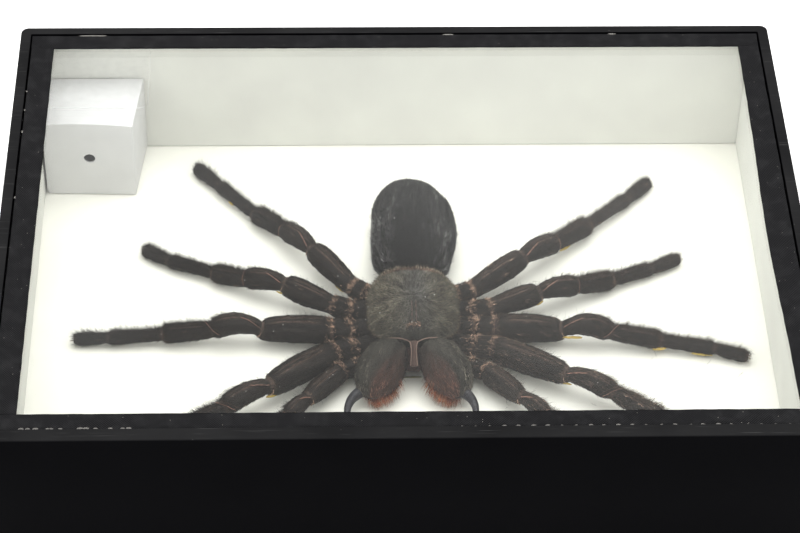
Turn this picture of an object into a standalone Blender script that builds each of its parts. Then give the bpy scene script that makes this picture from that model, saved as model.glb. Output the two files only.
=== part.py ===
"""A glazed shadow box, lying on its back, with one dried tarantula fixed inside.

The origin is the middle of the box's back face and +Z is up, out of the glass. The animal
faces -Y, so its own left side is at +X. Sizes are in millimetres; make_part turns each
finished mesh to metres.
"""
import math

import bmesh
import bpy
from mathutils import Matrix, Vector

MILLIMETRE = 0.001
GAP = 0.3  # clearance between two pieces that touch

# The box
BOX_LENGTH = 200.0
BOX_WIDTH = 150.0
BOX_DEPTH = 45.0
CORNER_RADIUS = 2.0
CORNER_SEGMENTS = 6
RAIL = 3.8
RAIL_EDGE_BEVEL = 0.4
BACK_PANEL = 3.0
BACKING_BOARD = 2.8
LINER = 1.2
GLASS = 2.0
TAPE = 0.4
TAPE_BELOW_RIM = 0.8

# How far each tape strip reaches in from the outside of the box
TAPE_REACH_LEFT = 9.1
TAPE_REACH_RIGHT = 8.6
TAPE_REACH_BACK = 7.8
TAPE_REACH_FRONT = 9.3

# The clear film on the glass, in the back left corner
FILM = 0.15
FILM_LENGTH = 25.5
FILM_WIDTH = 23.8
FILM_CORNER = 1.5
FILM_CORNER_SEGMENTS = 4

# The folded paper box inside, pushed a little out of square
CARTON_HEIGHT = 24.5
CARTON_WALL = 0.6
CARTON_CORNERS = ((-94.1, 50.3), (-70.0, 49.5), (-67.9, 69.3), (-93.2, 69.3))
CARTON_HOLE_RADIUS = 1.5
CARTON_HOLE_SIDES = 20
PUNCH_LENGTH = 8.0
CARTON_HOLE = (-82.0, 13.3)  # x, and height above the board

# The animal
BODY_X = 2.9
CARAPACE_CENTRE = (3.1, -1.7)
CARAPACE_SIDES = 28
SQUARENESS_FRONT = 3.0
SQUARENESS_REAR = 2.5
FRONT_LIFT = 2.0  # how much higher the shield's front edge is than its back edge
SHIELD_EDGE = 6.9  # height of the shield's lower edge, above the board
UNDERSIDE_SHIFT = -1.3  # the underside sits this far towards the jaws
EYE_MOUND = (3.0, -12.4, 11.6)
EYE_MOUND_SIZE = (2.3, 1.7, 1.3)
JAW_X = 2.7
FANG_X = 2.0
SPINNERET_X = 3.3
ABDOMEN_SIDES = 20
LIMB_SIDES = 10
JAW_SIDES = 14
FANG_SIDES = 8

# Rings up the front body: height above the board, half width, half length.
# The narrow ones are the underside between the legs, the wide ones the domed shield.
CARAPACE_RINGS = (
    (0.9, 3.2, 6.6),
    (1.5, 4.6, 8.4),
    (5.2, 5.2, 9.0),
    (6.5, 5.6, 9.6),
    (6.9, 10.8, 12.7),
    (7.5, 11.5, 13.5),
    (8.5, 11.1, 13.0),
    (9.7, 9.9, 11.8),
    (10.8, 8.1, 10.0),
    (11.7, 5.8, 7.4),
    (12.2, 3.0, 4.0),
)

# Rings back along the rear body, from the waist: place along Y, place across, half width,
# lowest and highest height above the board.
ABDOMEN_RINGS = (
    (7.2, 3.2, 1.2, 4.0, 6.2),
    (11.8, 3.5, 1.4, 3.9, 6.3),
    (12.4, 3.5, 6.3, 2.5, 7.7),
    (12.9, 3.6, 8.3, 1.4, 8.8),
    (14.6, 3.6, 9.5, 0.9, 10.6),
    (17.8, 3.6, 10.5, 0.6, 12.3),
    (22.0, 3.6, 11.1, 0.35, 13.4),
    (26.5, 3.8, 11.3, 0.35, 13.8),
    (31.5, 3.9, 10.9, 0.35, 13.8),
    (36.0, 3.7, 10.4, 0.4, 13.3),
    (40.2, 3.5, 9.3, 0.8, 12.2),
    (43.4, 3.4, 7.3, 1.8, 10.7),
    (45.6, 3.3, 4.6, 3.4, 8.9),
    (46.7, 3.3, 1.6, 5.0, 7.2),
)

# Stations down each jaw: distance out from the midline, place along Y, height above the
# board, half width, half height. A fang's station has one radius in place of the last two.
CHELICERA_STATIONS = (
    (5.3, -16.5, 8.2, 3.5, 2.6),
    (5.6, -17.6, 8.4, 4.5, 3.8),
    (6.8, -20.0, 8.2, 5.5, 4.5),
    (7.9, -22.4, 7.5, 6.0, 4.7),
    (9.0, -24.6, 6.6, 6.0, 4.6),
    (10.1, -26.7, 5.6, 5.1, 4.0),
    (10.8, -28.2, 4.6, 3.7, 2.9),
    (11.0, -29.2, 4.0, 1.5, 1.2),
)
FANG_STATIONS = (
    (14.2, -29.8, 4.2, 1.15),
    (15.2, -30.8, 3.8, 1.10),
    (15.9, -32.3, 3.2, 0.95),
    (16.1, -34.1, 2.6, 0.80),
    (15.7, -36.0, 1.9, 0.60),
    (14.7, -37.8, 1.3, 0.38),
    (13.5, -39.0, 0.9, 0.14),
)
SPINNERET_STATIONS = (
    (1.9, 45.2, 2.2, 0.75),
    (2.3, 46.6, 2.2, 0.95),
    (2.7, 48.4, 2.0, 0.85),
    (3.0, 50.0, 1.7, 0.65),
    (3.2, 51.2, 1.5, 0.28),
)

# Each limb is a chain: coxa, trochanter, femur, patella, tibia, metatarsus, tarsus.
# Lengths and radii are shared by a pair, and so are the heights of the far ends.
LIMB_ROOT = {
    "palp": (5.0, -14.4),
    "leg_1": (6.6, -10.0),
    "leg_2": (7.3, -5.0),
    "leg_3": (7.3, 0.4),
    "leg_4": (6.6, 5.5),
}
ROOT_HEIGHT = 3.7
LIMB_LENGTHS = {
    "palp": (10.0, 5.0, 13.2, 7.0, 8.0, 7.5),
    "leg_1": (9.6, 4.8, 21.0, 12.4, 14.0, 13.5, 9.5),
    "leg_2": (9.0, 4.6, 18.2, 12.0, 13.0, 13.8, 8.9),
    "leg_3": (8.4, 4.4, 15.5, 10.2, 10.5, 11.8, 8.3),
    "leg_4": (5.0, 4.0, 18.4, 11.0, 12.8, 16.4, 9.6),
}
SHORTENED = {"leg_right_4": 2.3}  # its last two joints are bent in, which takes this much off
LIMB_RADII = {
    "palp": (1.7, 1.9, 2.75, 2.25, 2.0, 1.8),
    "leg_1": (2.3, 2.3, 3.55, 2.8, 2.3, 1.85, 1.6),
    "leg_2": (2.3, 2.3, 3.3, 2.6, 2.15, 1.75, 1.55),
    "leg_3": (2.3, 2.2, 2.95, 2.6, 2.4, 1.85, 1.65),
    "leg_4": (2.2, 2.2, 3.1, 2.8, 2.45, 1.85, 1.6),
}
LIMB_HEIGHTS = {
    "palp": (3.6, 4.6, 5.4, 4.6, 3.2, 2.1),
    "leg_1": (4.2, 5.2, 6.7, 5.5, 3.6, 2.6, 1.9),
    "leg_2": (4.2, 5.2, 6.6, 5.0, 3.3, 2.5, 1.9),
    "leg_3": (4.2, 5.2, 7.0, 5.0, 3.0, 2.4, 1.95),
    "leg_4": (4.2, 5.2, 7.2, 5.2, 3.3, 2.5, 1.9),
}
PATELLA = 3  # its place in the chain
PATELLA_ARCH = {"palp": 0.2, "leg_1": 0.5, "leg_2": 0.9, "leg_3": 0.5, "leg_4": 0.6}

# Headings in degrees out from the side of the body, + towards its rear. The two sides of
# the animal were pinned out a little differently.
HEADINGS = {
    "left": {
        "palp": (-28, -29, -49, -44, -46, -50),
        "leg_1": (-15, -18, -31, -26, -33, -36, -34),
        "leg_2": (-6, -8, -3, -4, -7, -9, -14),
        "leg_3": (-3, 2, 18, 22, 24, 23, 30),
        "leg_4": (2, 15, 37, 38, 44, 44, 49),
    },
    "right": {
        "palp": (-26, -28, -50, -48, -50, -54),
        "leg_1": (-18, -22, -34, -32, -31, -34, -31),
        "leg_2": (-8, -10, 1, 1, 0, 0, 6),
        "leg_3": (4, 8, 26, 22, 27, 24, 36),
        "leg_4": (10, 28, 50, 52, 47, 50, 52),
    },
}
# Rings along each segment, as (place along it, share of its radius): it swells between joints
HIP = ((0.05, 0.80), (0.22, 1.00), (0.70, 1.00), (0.93, 0.84))
THIGH = ((0.05, 0.72), (0.24, 0.97), (0.75, 1.00), (0.95, 0.80))
KNEE = ((0.05, 0.70), (0.30, 0.92), (0.75, 1.02), (0.95, 0.80))
SHIN = ((0.05, 0.78), (0.25, 0.97), (0.80, 1.03), (0.95, 0.84))
SHANK = ((0.05, 0.84), (0.25, 0.94), (0.80, 1.02), (0.95, 0.86))
SEGMENT_SHAPES = (HIP, HIP, THIGH, KNEE, SHIN, SHANK)
BLUNT_TIP = ((0.05, 0.80), (0.30, 0.96), (0.72, 1.04), (0.93, 0.80), (1.00, 0.36))

BLACK_FOIL = (0.012, 0.012, 0.013)
BLACK_TAPE = (0.016, 0.016, 0.018)
WHITE_CARD = (0.80, 0.79, 0.76)
WHITE_PAPER = (0.72, 0.72, 0.70)
GREY_BOARD = (0.35, 0.30, 0.24)
CLEAR = (0.95, 0.97, 0.96)
DARK_HAIR = (0.045, 0.038, 0.032)
VELVET_GREY = (0.055, 0.053, 0.050)
FANG_BLACK = (0.015, 0.013, 0.015)

BOARD_TOP = BACK_PANEL + GAP + BACKING_BOARD
TAPE_TOP = BOX_DEPTH - TAPE_BELOW_RIM
GLASS_TOP = TAPE_TOP - TAPE - GAP
GLASS_BOTTOM = GLASS_TOP - GLASS
INSIDE_X = BOX_LENGTH / 2 - RAIL - GAP  # half the room between the rails
INSIDE_Y = BOX_WIDTH / 2 - RAIL - GAP
UP = Vector((0.0, 0.0, 1.0))
SHARP_ABOVE = math.radians(50)  # edges that turn more than this stay sharp
BEVEL_ABOVE = math.radians(40)
CUTTER_MARGIN = 5.0  # how far a cutter stands out of what it cuts


def clear_scene():
    for thing in list(bpy.data.objects):
        bpy.data.objects.remove(thing, do_unlink=True)


def make_material(name, colour, roughness, metallic=0.0):
    material = bpy.data.materials.new(name)
    material.use_nodes = True
    shader = material.node_tree.nodes["Principled BSDF"]
    shader.inputs["Base Color"].default_value = (*colour, 1.0)
    shader.inputs["Roughness"].default_value = roughness
    shader.inputs["Metallic"].default_value = metallic
    return material


def make_part(name, bm, colour, roughness, smooth=False):
    """Turn a mesh in millimetres into a named object in metres."""
    bmesh.ops.recalc_face_normals(bm, faces=bm.faces)
    bmesh.ops.scale(bm, vec=(MILLIMETRE,) * 3, verts=bm.verts)
    mesh = bpy.data.meshes.new(name)
    bm.to_mesh(mesh)
    bm.free()
    if smooth:
        mesh.shade_smooth()
        mesh.set_sharp_from_angle(angle=SHARP_ABOVE)
    part = bpy.data.objects.new(name, mesh)
    bpy.context.scene.collection.objects.link(part)
    part.data.materials.append(make_material(name, colour, roughness))
    return part


def make_cutter(name, bm):
    cutter = make_part(name, bm, CLEAR, 0.5)
    cutter.hide_render = True
    cutter.display_type = 'WIRE'
    return cutter


def add_boolean(part, tool, operation):
    boolean = part.modifiers.new(tool.name, 'BOOLEAN')
    boolean.operation = operation
    boolean.solver = 'EXACT'
    boolean.object = tool


def block(x_range, y_range, z_range):
    """A plain block between two limits along each axis."""
    ranges = (x_range, y_range, z_range)
    middle = Vector([(low + high) / 2 for low, high in ranges])
    size = [high - low for low, high in ranges]
    bm = bmesh.new()
    bmesh.ops.create_cube(bm, size=1.0, matrix=Matrix.Translation(middle) @ Matrix.Diagonal((*size, 1.0)))
    return bm


def upright_edges(bm):
    return [edge for edge in bm.edges
            if (edge.verts[0].co - edge.verts[1].co).normalized().cross(UP).length < 1e-4]


def cut_away(bm, point, outward):
    """Cut the mesh with a plane, drop what lies past it and close the cut."""
    everything = bm.verts[:] + bm.edges[:] + bm.faces[:]
    cut = bmesh.ops.bisect_plane(bm, geom=everything, plane_co=point, plane_no=outward, clear_outer=True)
    edges = [item for item in cut["geom_cut"] if isinstance(item, bmesh.types.BMEdge)]
    bmesh.ops.contextual_create(bm, geom=edges)


# ---------------------------------------------------------------- the box

def make_rails():
    """Four rails from one round-cornered block: each keeps its own side of the mitres."""
    half_x, half_y = BOX_LENGTH / 2, BOX_WIDTH / 2
    room = block((-half_x + RAIL, half_x - RAIL), (-half_y + RAIL, half_y - RAIL),
                 (-CUTTER_MARGIN, BOX_DEPTH + CUTTER_MARGIN))
    room_cutter = make_cutter("room_between_rails", room)
    sides = {"rail_front": (0, -1), "rail_back": (0, 1), "rail_left": (-1, 0), "rail_right": (1, 0)}
    for name, (side_x, side_y) in sides.items():
        bm = block((-half_x, half_x), (-half_y, half_y), (0, BOX_DEPTH))
        bmesh.ops.bevel(bm, geom=upright_edges(bm), offset=CORNER_RADIUS, segments=CORNER_SEGMENTS,
                        profile=0.5, affect='EDGES', material=-1)
        outwards = Vector((side_x, side_y, 0))
        along = Vector((-side_y, side_x, 0))
        for end in (-1, 1):
            # the mitre runs in from the corner at this end of the side
            corner = Vector((half_x * (side_x or end * along.x), half_y * (side_y or end * along.y), 0))
            away = (along * end - outwards).normalized()
            cut_away(bm, corner - away * GAP / 2, away)
        rail = make_part(name, bm, BLACK_FOIL, 0.35)
        add_boolean(rail, room_cutter, 'DIFFERENCE')
        bevel = rail.modifiers.new("edge", 'BEVEL')
        bevel.width = RAIL_EDGE_BEVEL * MILLIMETRE
        bevel.segments = 1
        bevel.limit_method = 'ANGLE'
        bevel.angle_limit = BEVEL_ABOVE


def make_back():
    floor = ((-INSIDE_X, INSIDE_X), (-INSIDE_Y, INSIDE_Y))
    make_part("back_panel", block(*floor, (0, BACK_PANEL)), GREY_BOARD, 0.8)
    make_part("backing_board", block(*floor, (BACK_PANEL + GAP, BOARD_TOP)), WHITE_CARD, 0.7)


def make_liners():
    """White strips on edge round the inside; the glass rests on them."""
    tall = (BOARD_TOP + GAP, GLASS_BOTTOM - GAP)
    between = INSIDE_Y - LINER - GAP
    for name, side in (("liner_front", -1), ("liner_back", 1)):
        depth = sorted((side * INSIDE_Y, side * (INSIDE_Y - LINER)))
        make_part(name, block((-INSIDE_X, INSIDE_X), depth, tall), WHITE_CARD, 0.7)
    for name, side in (("liner_left", -1), ("liner_right", 1)):
        depth = sorted((side * INSIDE_X, side * (INSIDE_X - LINER)))
        make_part(name, block(depth, (-between, between), tall), WHITE_CARD, 0.7)


def make_glazing():
    make_part("glass_pane", block((-INSIDE_X, INSIDE_X), (-INSIDE_Y, INSIDE_Y), (GLASS_BOTTOM, GLASS_TOP)),
              CLEAR, 0.03)
    height = (TAPE_TOP - TAPE, TAPE_TOP)
    opening_front = -BOX_WIDTH / 2 + TAPE_REACH_FRONT
    opening_back = BOX_WIDTH / 2 - TAPE_REACH_BACK
    opening_left = -BOX_LENGTH / 2 + TAPE_REACH_LEFT
    opening_right = BOX_LENGTH / 2 - TAPE_REACH_RIGHT
    between = (opening_front + GAP, opening_back - GAP)
    strips = {
        "tape_front": ((-INSIDE_X, INSIDE_X), (-INSIDE_Y, opening_front)),
        "tape_back": ((-INSIDE_X, INSIDE_X), (opening_back, INSIDE_Y)),
        "tape_left": ((-INSIDE_X, opening_left), between),
        "tape_right": ((opening_right, INSIDE_X), between),
    }
    for name, (x_range, y_range) in strips.items():
        make_part(name, block(x_range, y_range, height), BLACK_TAPE, 0.6)

    film_x = (opening_left + GAP, opening_left + GAP + FILM_LENGTH)
    film_y = (opening_back - GAP - FILM_WIDTH, opening_back - GAP)
    film = block(film_x, film_y, (GLASS_TOP + GAP, GLASS_TOP + GAP + FILM))
    bmesh.ops.bevel(film, geom=upright_edges(film), offset=FILM_CORNER, segments=FILM_CORNER_SEGMENTS,
                    profile=0.5, affect='EDGES', material=-1)
    make_part("clear_label", film, CLEAR, 0.1)


def make_carton():
    """A thin paper box: a closed skin made hollow, then opened by the hole in its front."""
    bm = bmesh.new()
    floor = BOARD_TOP + GAP
    base = bm.faces.new([bm.verts.new((x, y, floor)) for x, y in CARTON_CORNERS])
    raised = bmesh.ops.extrude_face_region(bm, geom=[base])
    top = [item for item in raised["geom"] if isinstance(item, bmesh.types.BMVert)]
    bmesh.ops.translate(bm, vec=(0, 0, CARTON_HEIGHT), verts=top)
    carton = make_part("repellent_carton", bm, WHITE_PAPER, 0.75)
    wall = carton.modifiers.new("wall", 'SOLIDIFY')
    wall.thickness = CARTON_WALL * MILLIMETRE
    wall.offset = -1.0
    wall.use_even_offset = True

    hole_x, hole_height = CARTON_HOLE
    hole_y = CARTON_CORNERS[0][1]
    punch = bmesh.new()
    place = Matrix.Translation((hole_x, hole_y, BOARD_TOP + hole_height)) @ Matrix.Rotation(math.pi / 2, 4, 'X')
    bmesh.ops.create_cone(punch, cap_ends=True, segments=CARTON_HOLE_SIDES, radius1=CARTON_HOLE_RADIUS,
                          radius2=CARTON_HOLE_RADIUS, depth=PUNCH_LENGTH, matrix=place)
    add_boolean(carton, make_cutter("carton_punch", punch), 'DIFFERENCE')


# ---------------------------------------------------------------- the animal

def loft(stations, sides):
    """Skin a row of ellipses. A station is (centre, half width, half height); each ring
    squares itself to the line through its neighbours."""
    bm = bmesh.new()
    centres = [Vector(station[0]) for station in stations]
    edges, before = None, None
    for index, (_, wide, high) in enumerate(stations):
        ahead = centres[min(index + 1, len(centres) - 1)] - centres[max(index - 1, 0)]
        along = ahead.normalized()
        side = along.cross(UP).normalized()
        rise = side.cross(along)
        place = Matrix((side * wide, rise * high, along)).transposed().to_4x4()
        place.translation = centres[index]
        if edges is None:
            bmesh.ops.create_circle(bm, cap_ends=False, segments=sides, radius=1.0, matrix=place)
            edges = bm.edges[:]
            first = edges
        else:
            ring = bmesh.ops.extrude_edge_only(bm, edges=edges)["geom"]
            corners = [item for item in ring if isinstance(item, bmesh.types.BMVert)]
            edges = [item for item in ring if isinstance(item, bmesh.types.BMEdge)]
            edges = [edge for edge in edges if all(end in corners for end in edge.verts)]
            bmesh.ops.transform(bm, matrix=place @ before.inverted(), verts=corners)
        before = place
    bmesh.ops.edgeloop_fill(bm, edges=first)
    bmesh.ops.edgeloop_fill(bm, edges=edges)
    return bm


def squared(angle, squareness):
    """A point on a unit circle that is pressed towards a square."""
    def press(value):
        return math.copysign(abs(value) ** (2.0 / squareness), value)
    return press(math.cos(angle)), press(math.sin(angle))


def make_carapace():
    """The front body: a stack of squarish rings, the upper ones lifted towards the jaws."""
    bm = bmesh.new()
    centre_x, centre_y = CARAPACE_CENTRE
    edges = None
    for height, half_width, half_length in CARAPACE_RINGS:
        if edges is None:
            bmesh.ops.create_circle(bm, cap_ends=False, segments=CARAPACE_SIDES, radius=1.0)
            ring, edges = bm.verts[:], bm.edges[:]
            first = edges
        else:
            grown = bmesh.ops.extrude_edge_only(bm, edges=edges)["geom"]
            ring = [item for item in grown if isinstance(item, bmesh.types.BMVert)]
            edges = [item for item in grown if isinstance(item, bmesh.types.BMEdge)
                     and all(end in ring for end in item.verts)]
        is_shield = height >= SHIELD_EDGE
        shift = 0.0 if is_shield else UNDERSIDE_SHIFT
        for step, corner in enumerate(ring):
            turn = 2 * math.pi * step / CARAPACE_SIDES
            across, along = squared(turn, SQUARENESS_FRONT if turn > math.pi else SQUARENESS_REAR)
            lift = FRONT_LIFT * max(0.0, -along) ** 2 if is_shield else 0.0
            corner.co = (centre_x + half_width * across, centre_y + shift + half_length * along,
                         BOARD_TOP + height + lift)
    bmesh.ops.edgeloop_fill(bm, edges=first)
    bmesh.ops.edgeloop_fill(bm, edges=edges)
    carapace = make_part("carapace", bm, DARK_HAIR, 0.8, smooth=True)

    mound = bmesh.new()
    eye_x, eye_y, eye_height = EYE_MOUND
    place = Matrix.Translation((eye_x, eye_y, BOARD_TOP + eye_height)) @ Matrix.Diagonal((*EYE_MOUND_SIZE, 1.0))
    bmesh.ops.create_icosphere(mound, subdivisions=2, radius=1.0, matrix=place)
    add_boolean(carapace, make_cutter("eye_mound", mound), 'UNION')


def make_abdomen():
    stations = [((across, along, BOARD_TOP + (low + high) / 2), half_width, (high - low) / 2)
                for along, across, half_width, low, high in ABDOMEN_RINGS]
    make_part("abdomen", loft(stations, ABDOMEN_SIDES), VELVET_GREY, 0.9, smooth=True)


def make_mouthparts_and_spinnerets():
    """Jaws, fangs and spinnerets, each made once and placed on both sides of the midline."""
    for side, sign in (("left", 1), ("right", -1)):
        jaw = [((JAW_X + sign * out, y, BOARD_TOP + height), wide, high)
               for out, y, height, wide, high in CHELICERA_STATIONS]
        make_part("chelicera_" + side, loft(jaw, JAW_SIDES), DARK_HAIR, 0.8, smooth=True)
        fang = [((FANG_X + sign * out, y, BOARD_TOP + height), radius, radius)
                for out, y, height, radius in FANG_STATIONS]
        make_part("fang_" + side, loft(fang, FANG_SIDES), FANG_BLACK, 0.15, smooth=True)
        spinneret = [((SPINNERET_X + sign * out, y, BOARD_TOP + height), radius, radius)
                     for out, y, height, radius in SPINNERET_STATIONS]
        make_part("spinneret_" + side, loft(spinneret, FANG_SIDES), DARK_HAIR, 0.8, smooth=True)


def limb_stations(name, pair, side):
    """Rings down one limb, joint by joint, never lower than the board it lies on."""
    sign = 1 if side == "left" else -1
    root_out, root_y = LIMB_ROOT[pair]
    joint = Vector((BODY_X + sign * root_out, root_y, BOARD_TOP + ROOT_HEIGHT))
    chain = list(zip(LIMB_LENGTHS[pair], HEADINGS[side][pair], LIMB_HEIGHTS[pair], LIMB_RADII[pair]))
    stations = []
    for number, (length, heading, height, radius) in enumerate(chain):
        if number >= len(chain) - 2:
            length -= SHORTENED.get(name, 0.0) / 2
        turn = math.radians(heading)
        far = joint + Vector((sign * length * math.cos(turn), length * math.sin(turn), 0))
        far.z = BOARD_TOP + height
        arch = PATELLA_ARCH[pair] if number == PATELLA else 0.0
        for along, share in (BLUNT_TIP if number == len(chain) - 1 else SEGMENT_SHAPES[number]):
            centre = joint.lerp(far, along)
            centre.z += arch * math.sin(math.pi * along)
            centre.z = max(centre.z, BOARD_TOP + GAP + radius * share)
            stations.append((centre, radius * share, radius * share))
        joint = far
    return stations


def make_limbs():
    for side in ("left", "right"):
        for pair in LIMB_ROOT:
            name = "palp_" + side if pair == "palp" else "leg_" + side + pair[3:]
            stations = limb_stations(name, pair, side)
            make_part(name, loft(stations, LIMB_SIDES), DARK_HAIR, 0.8, smooth=True)


clear_scene()
make_rails()
make_back()
make_liners()
make_glazing()
make_carton()
make_carapace()
make_abdomen()
make_mouthparts_and_spinnerets()
make_limbs()
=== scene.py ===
# %% [markdown]
# # A framed tarantula
#
# The object is a shallow black box that lies on its back. Under its glass a dried tarantula is
# pinned out on white card, beside a small folded paper box of moth repellent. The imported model
# already holds every solid at its real size. This file gives those solids their looks: it adds
# finer skins, hair, glue and cloth tape on top of them, and a finish for each surface.
#
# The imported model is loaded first, because every later piece is measured from it.

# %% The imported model
import math

import bmesh
import bpy
import numpy as np
from mathutils import Matrix, Vector, noise
from mathutils.bvhtree import BVHTree


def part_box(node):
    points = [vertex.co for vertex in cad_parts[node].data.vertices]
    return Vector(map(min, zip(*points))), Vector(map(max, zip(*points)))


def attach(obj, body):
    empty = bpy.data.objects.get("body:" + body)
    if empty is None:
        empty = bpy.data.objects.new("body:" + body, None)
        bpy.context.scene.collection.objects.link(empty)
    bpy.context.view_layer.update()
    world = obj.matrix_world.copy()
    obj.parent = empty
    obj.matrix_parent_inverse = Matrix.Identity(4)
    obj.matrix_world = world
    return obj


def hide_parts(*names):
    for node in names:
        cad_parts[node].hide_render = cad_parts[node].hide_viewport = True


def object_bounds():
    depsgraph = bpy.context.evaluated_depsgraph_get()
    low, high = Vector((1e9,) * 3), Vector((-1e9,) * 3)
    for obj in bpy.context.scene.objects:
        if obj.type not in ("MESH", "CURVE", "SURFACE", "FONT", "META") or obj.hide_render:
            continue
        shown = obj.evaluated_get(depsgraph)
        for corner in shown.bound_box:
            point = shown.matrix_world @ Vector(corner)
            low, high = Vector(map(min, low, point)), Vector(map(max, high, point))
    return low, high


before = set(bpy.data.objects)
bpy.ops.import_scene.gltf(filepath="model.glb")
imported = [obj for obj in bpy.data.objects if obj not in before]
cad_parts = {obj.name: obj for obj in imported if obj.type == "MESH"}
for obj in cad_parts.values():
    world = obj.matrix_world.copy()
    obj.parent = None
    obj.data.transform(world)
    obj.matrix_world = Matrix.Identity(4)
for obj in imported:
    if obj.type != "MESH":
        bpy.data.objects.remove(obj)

MM = 0.001
cad_low, cad_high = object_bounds()
print("the box measures", [round(side / MM, 1) for side in cad_high - cad_low], "mm")

# %% [markdown]
# ## The view
#
# The picture was taken from in front and above, with a long lens. Three turns place such a
# camera: it starts looking straight down, is tipped up about X, swung about Z and rolled a
# little about its own axis. Written as three rotation matrices, each turn stays readable.

# %% The camera
PICTURE_WIDTH = 800
FOCAL_LENGTH = 2776.8  # in pixels of that width
SENSOR = 36.0
CAMERA_PLACE = Vector((-20.1, -507.0, 514.5)) * MM
LOOKS_DOWN = math.radians(43.82)
SWUNG = math.radians(-2.23)
ROLLED = math.radians(1.20)

lens = bpy.data.cameras.new("camera")
lens.sensor_width = SENSOR
lens.lens = FOCAL_LENGTH * SENSOR / PICTURE_WIDTH
lens.clip_start = 0.01
camera = bpy.data.objects.new("camera", lens)
bpy.context.scene.collection.objects.link(camera)
camera.matrix_world = (Matrix.Translation(CAMERA_PLACE) @ Matrix.Rotation(SWUNG, 4, 'Z')
                       @ Matrix.Rotation(math.pi / 2 - LOOKS_DOWN, 4, 'X')
                       @ Matrix.Rotation(ROLLED, 4, 'Z'))
bpy.context.scene.camera = camera
print("a lens of", round(lens.lens), "mm, looking", round(math.degrees(LOOKS_DOWN)), "degrees down")

# %% [markdown]
# ## Small tools for materials
#
# Every finish below is a node tree. Adding a node takes three lines each time: make it, set its
# values, join its inputs. One helper does all three. An input may be a number, a colour, or
# another node's output, which is then linked.

# %% Helpers for node trees
def feed(tree, node, inputs):
    """Sets a node's inputs. Where a value is another node's output, it is linked instead."""
    for name, value in inputs.items():
        if isinstance(value, bpy.types.NodeSocket):
            tree.links.new(value, node.inputs[name])
        else:
            node.inputs[name].default_value = value


def add_node(tree, kind, inputs=None, **settings):
    node = tree.nodes.new(kind)
    for name, value in settings.items():
        setattr(node, name, value)
    feed(tree, node, inputs or {})
    return node


def new_material(name, shader_inputs):
    material = bpy.data.materials.new(name)
    material.use_nodes = True
    tree = material.node_tree
    shader = tree.nodes["Principled BSDF"]
    feed(tree, shader, shader_inputs)
    return material, tree, shader


def colour(red, green, blue):
    return (red, green, blue, 1.0)


def scaled(tint, factor):
    return colour(*[value * factor for value in tint])


def object_places(tree, stretch=(1.0, 1.0, 1.0)):
    """Object coordinates in millimetres, stretched along each axis."""
    place = add_node(tree, "ShaderNodeTexCoord").outputs["Object"]
    scale = [value / MM for value in stretch]
    return add_node(tree, "ShaderNodeMapping", {"Vector": place, "Scale": scale}).outputs["Vector"]


def noise_value(tree, places, scale, detail=3.0, roughness=0.5):
    inputs = {"Vector": places, "Scale": scale, "Detail": detail, "Roughness": roughness}
    return add_node(tree, "ShaderNodeTexNoise", inputs).outputs[0]


def remap(tree, value, low, high, to_low=0.0, to_high=1.0):
    inputs = {"Value": value, "From Min": low, "From Max": high, "To Min": to_low, "To Max": to_high}
    return add_node(tree, "ShaderNodeMapRange", inputs).outputs["Result"]


def blend_colours(tree, share, first, second):
    """The Mix node's colour sockets are reached by number, because its other kinds share their names."""
    return add_node(tree, "ShaderNodeMix", {0: share, 6: first, 7: second}, data_type='RGBA').outputs[2]


def calculate(tree, operation, first, second=0.0):
    return add_node(tree, "ShaderNodeMath", {0: first, 1: second}, operation=operation).outputs[0]


def times(tree, product, *factors):
    for factor in factors:
        product = calculate(tree, 'MULTIPLY', product, factor)
    return product


def bumps(tree, height, depth_mm):
    inputs = {"Height": height, "Distance": depth_mm * MM}
    return add_node(tree, "ShaderNodeBump", inputs).outputs["Normal"]


# %% [markdown]
# ## Two effects that several finishes share
#
# Card, paper, hardboard and foil all have a fine grain, and most surfaces gather a little dust.
# Each is a node group, built once. A group gives out only values, colours and normals, and the
# material that uses it decides what they drive.

# %% The shared node groups
def new_group(name, inputs, outputs):
    group = bpy.data.node_groups.new(name, "ShaderNodeTree")
    for socket_name, kind, default in inputs:
        socket = group.interface.new_socket(socket_name, in_out='INPUT', socket_type=kind)
        if default is not None:
            socket.default_value = default
    for socket_name, kind in outputs:
        group.interface.new_socket(socket_name, in_out='OUTPUT', socket_type=kind)
    return group, group.nodes.new("NodeGroupInput"), group.nodes.new("NodeGroupOutput")


def make_grain_group():
    """Two sizes of noise in one: broad clouds for colour, fine grain for the bump."""
    inputs = [("Places", "NodeSocketVector", None), ("Cloud Scale", "NodeSocketFloat", 0.1),
              ("Grain Scale", "NodeSocketFloat", 4.0), ("Grain Depth", "NodeSocketFloat", 0.02 * MM)]
    outputs = [("Cloud", "NodeSocketFloat"), ("Grain", "NodeSocketFloat"), ("Normal", "NodeSocketVector")]
    group, given, result = new_group("grain", inputs, outputs)
    cloud = noise_value(group, given.outputs["Places"], given.outputs["Cloud Scale"], 4.0)
    grain = noise_value(group, given.outputs["Places"], given.outputs["Grain Scale"], 2.0, 0.6)
    bump = add_node(group, "ShaderNodeBump", {"Height": grain, "Distance": given.outputs["Grain Depth"]})
    group.links.new(cloud, result.inputs["Cloud"])
    group.links.new(grain, result.inputs["Grain"])
    group.links.new(bump.outputs["Normal"], result.inputs["Normal"])
    return group


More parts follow.
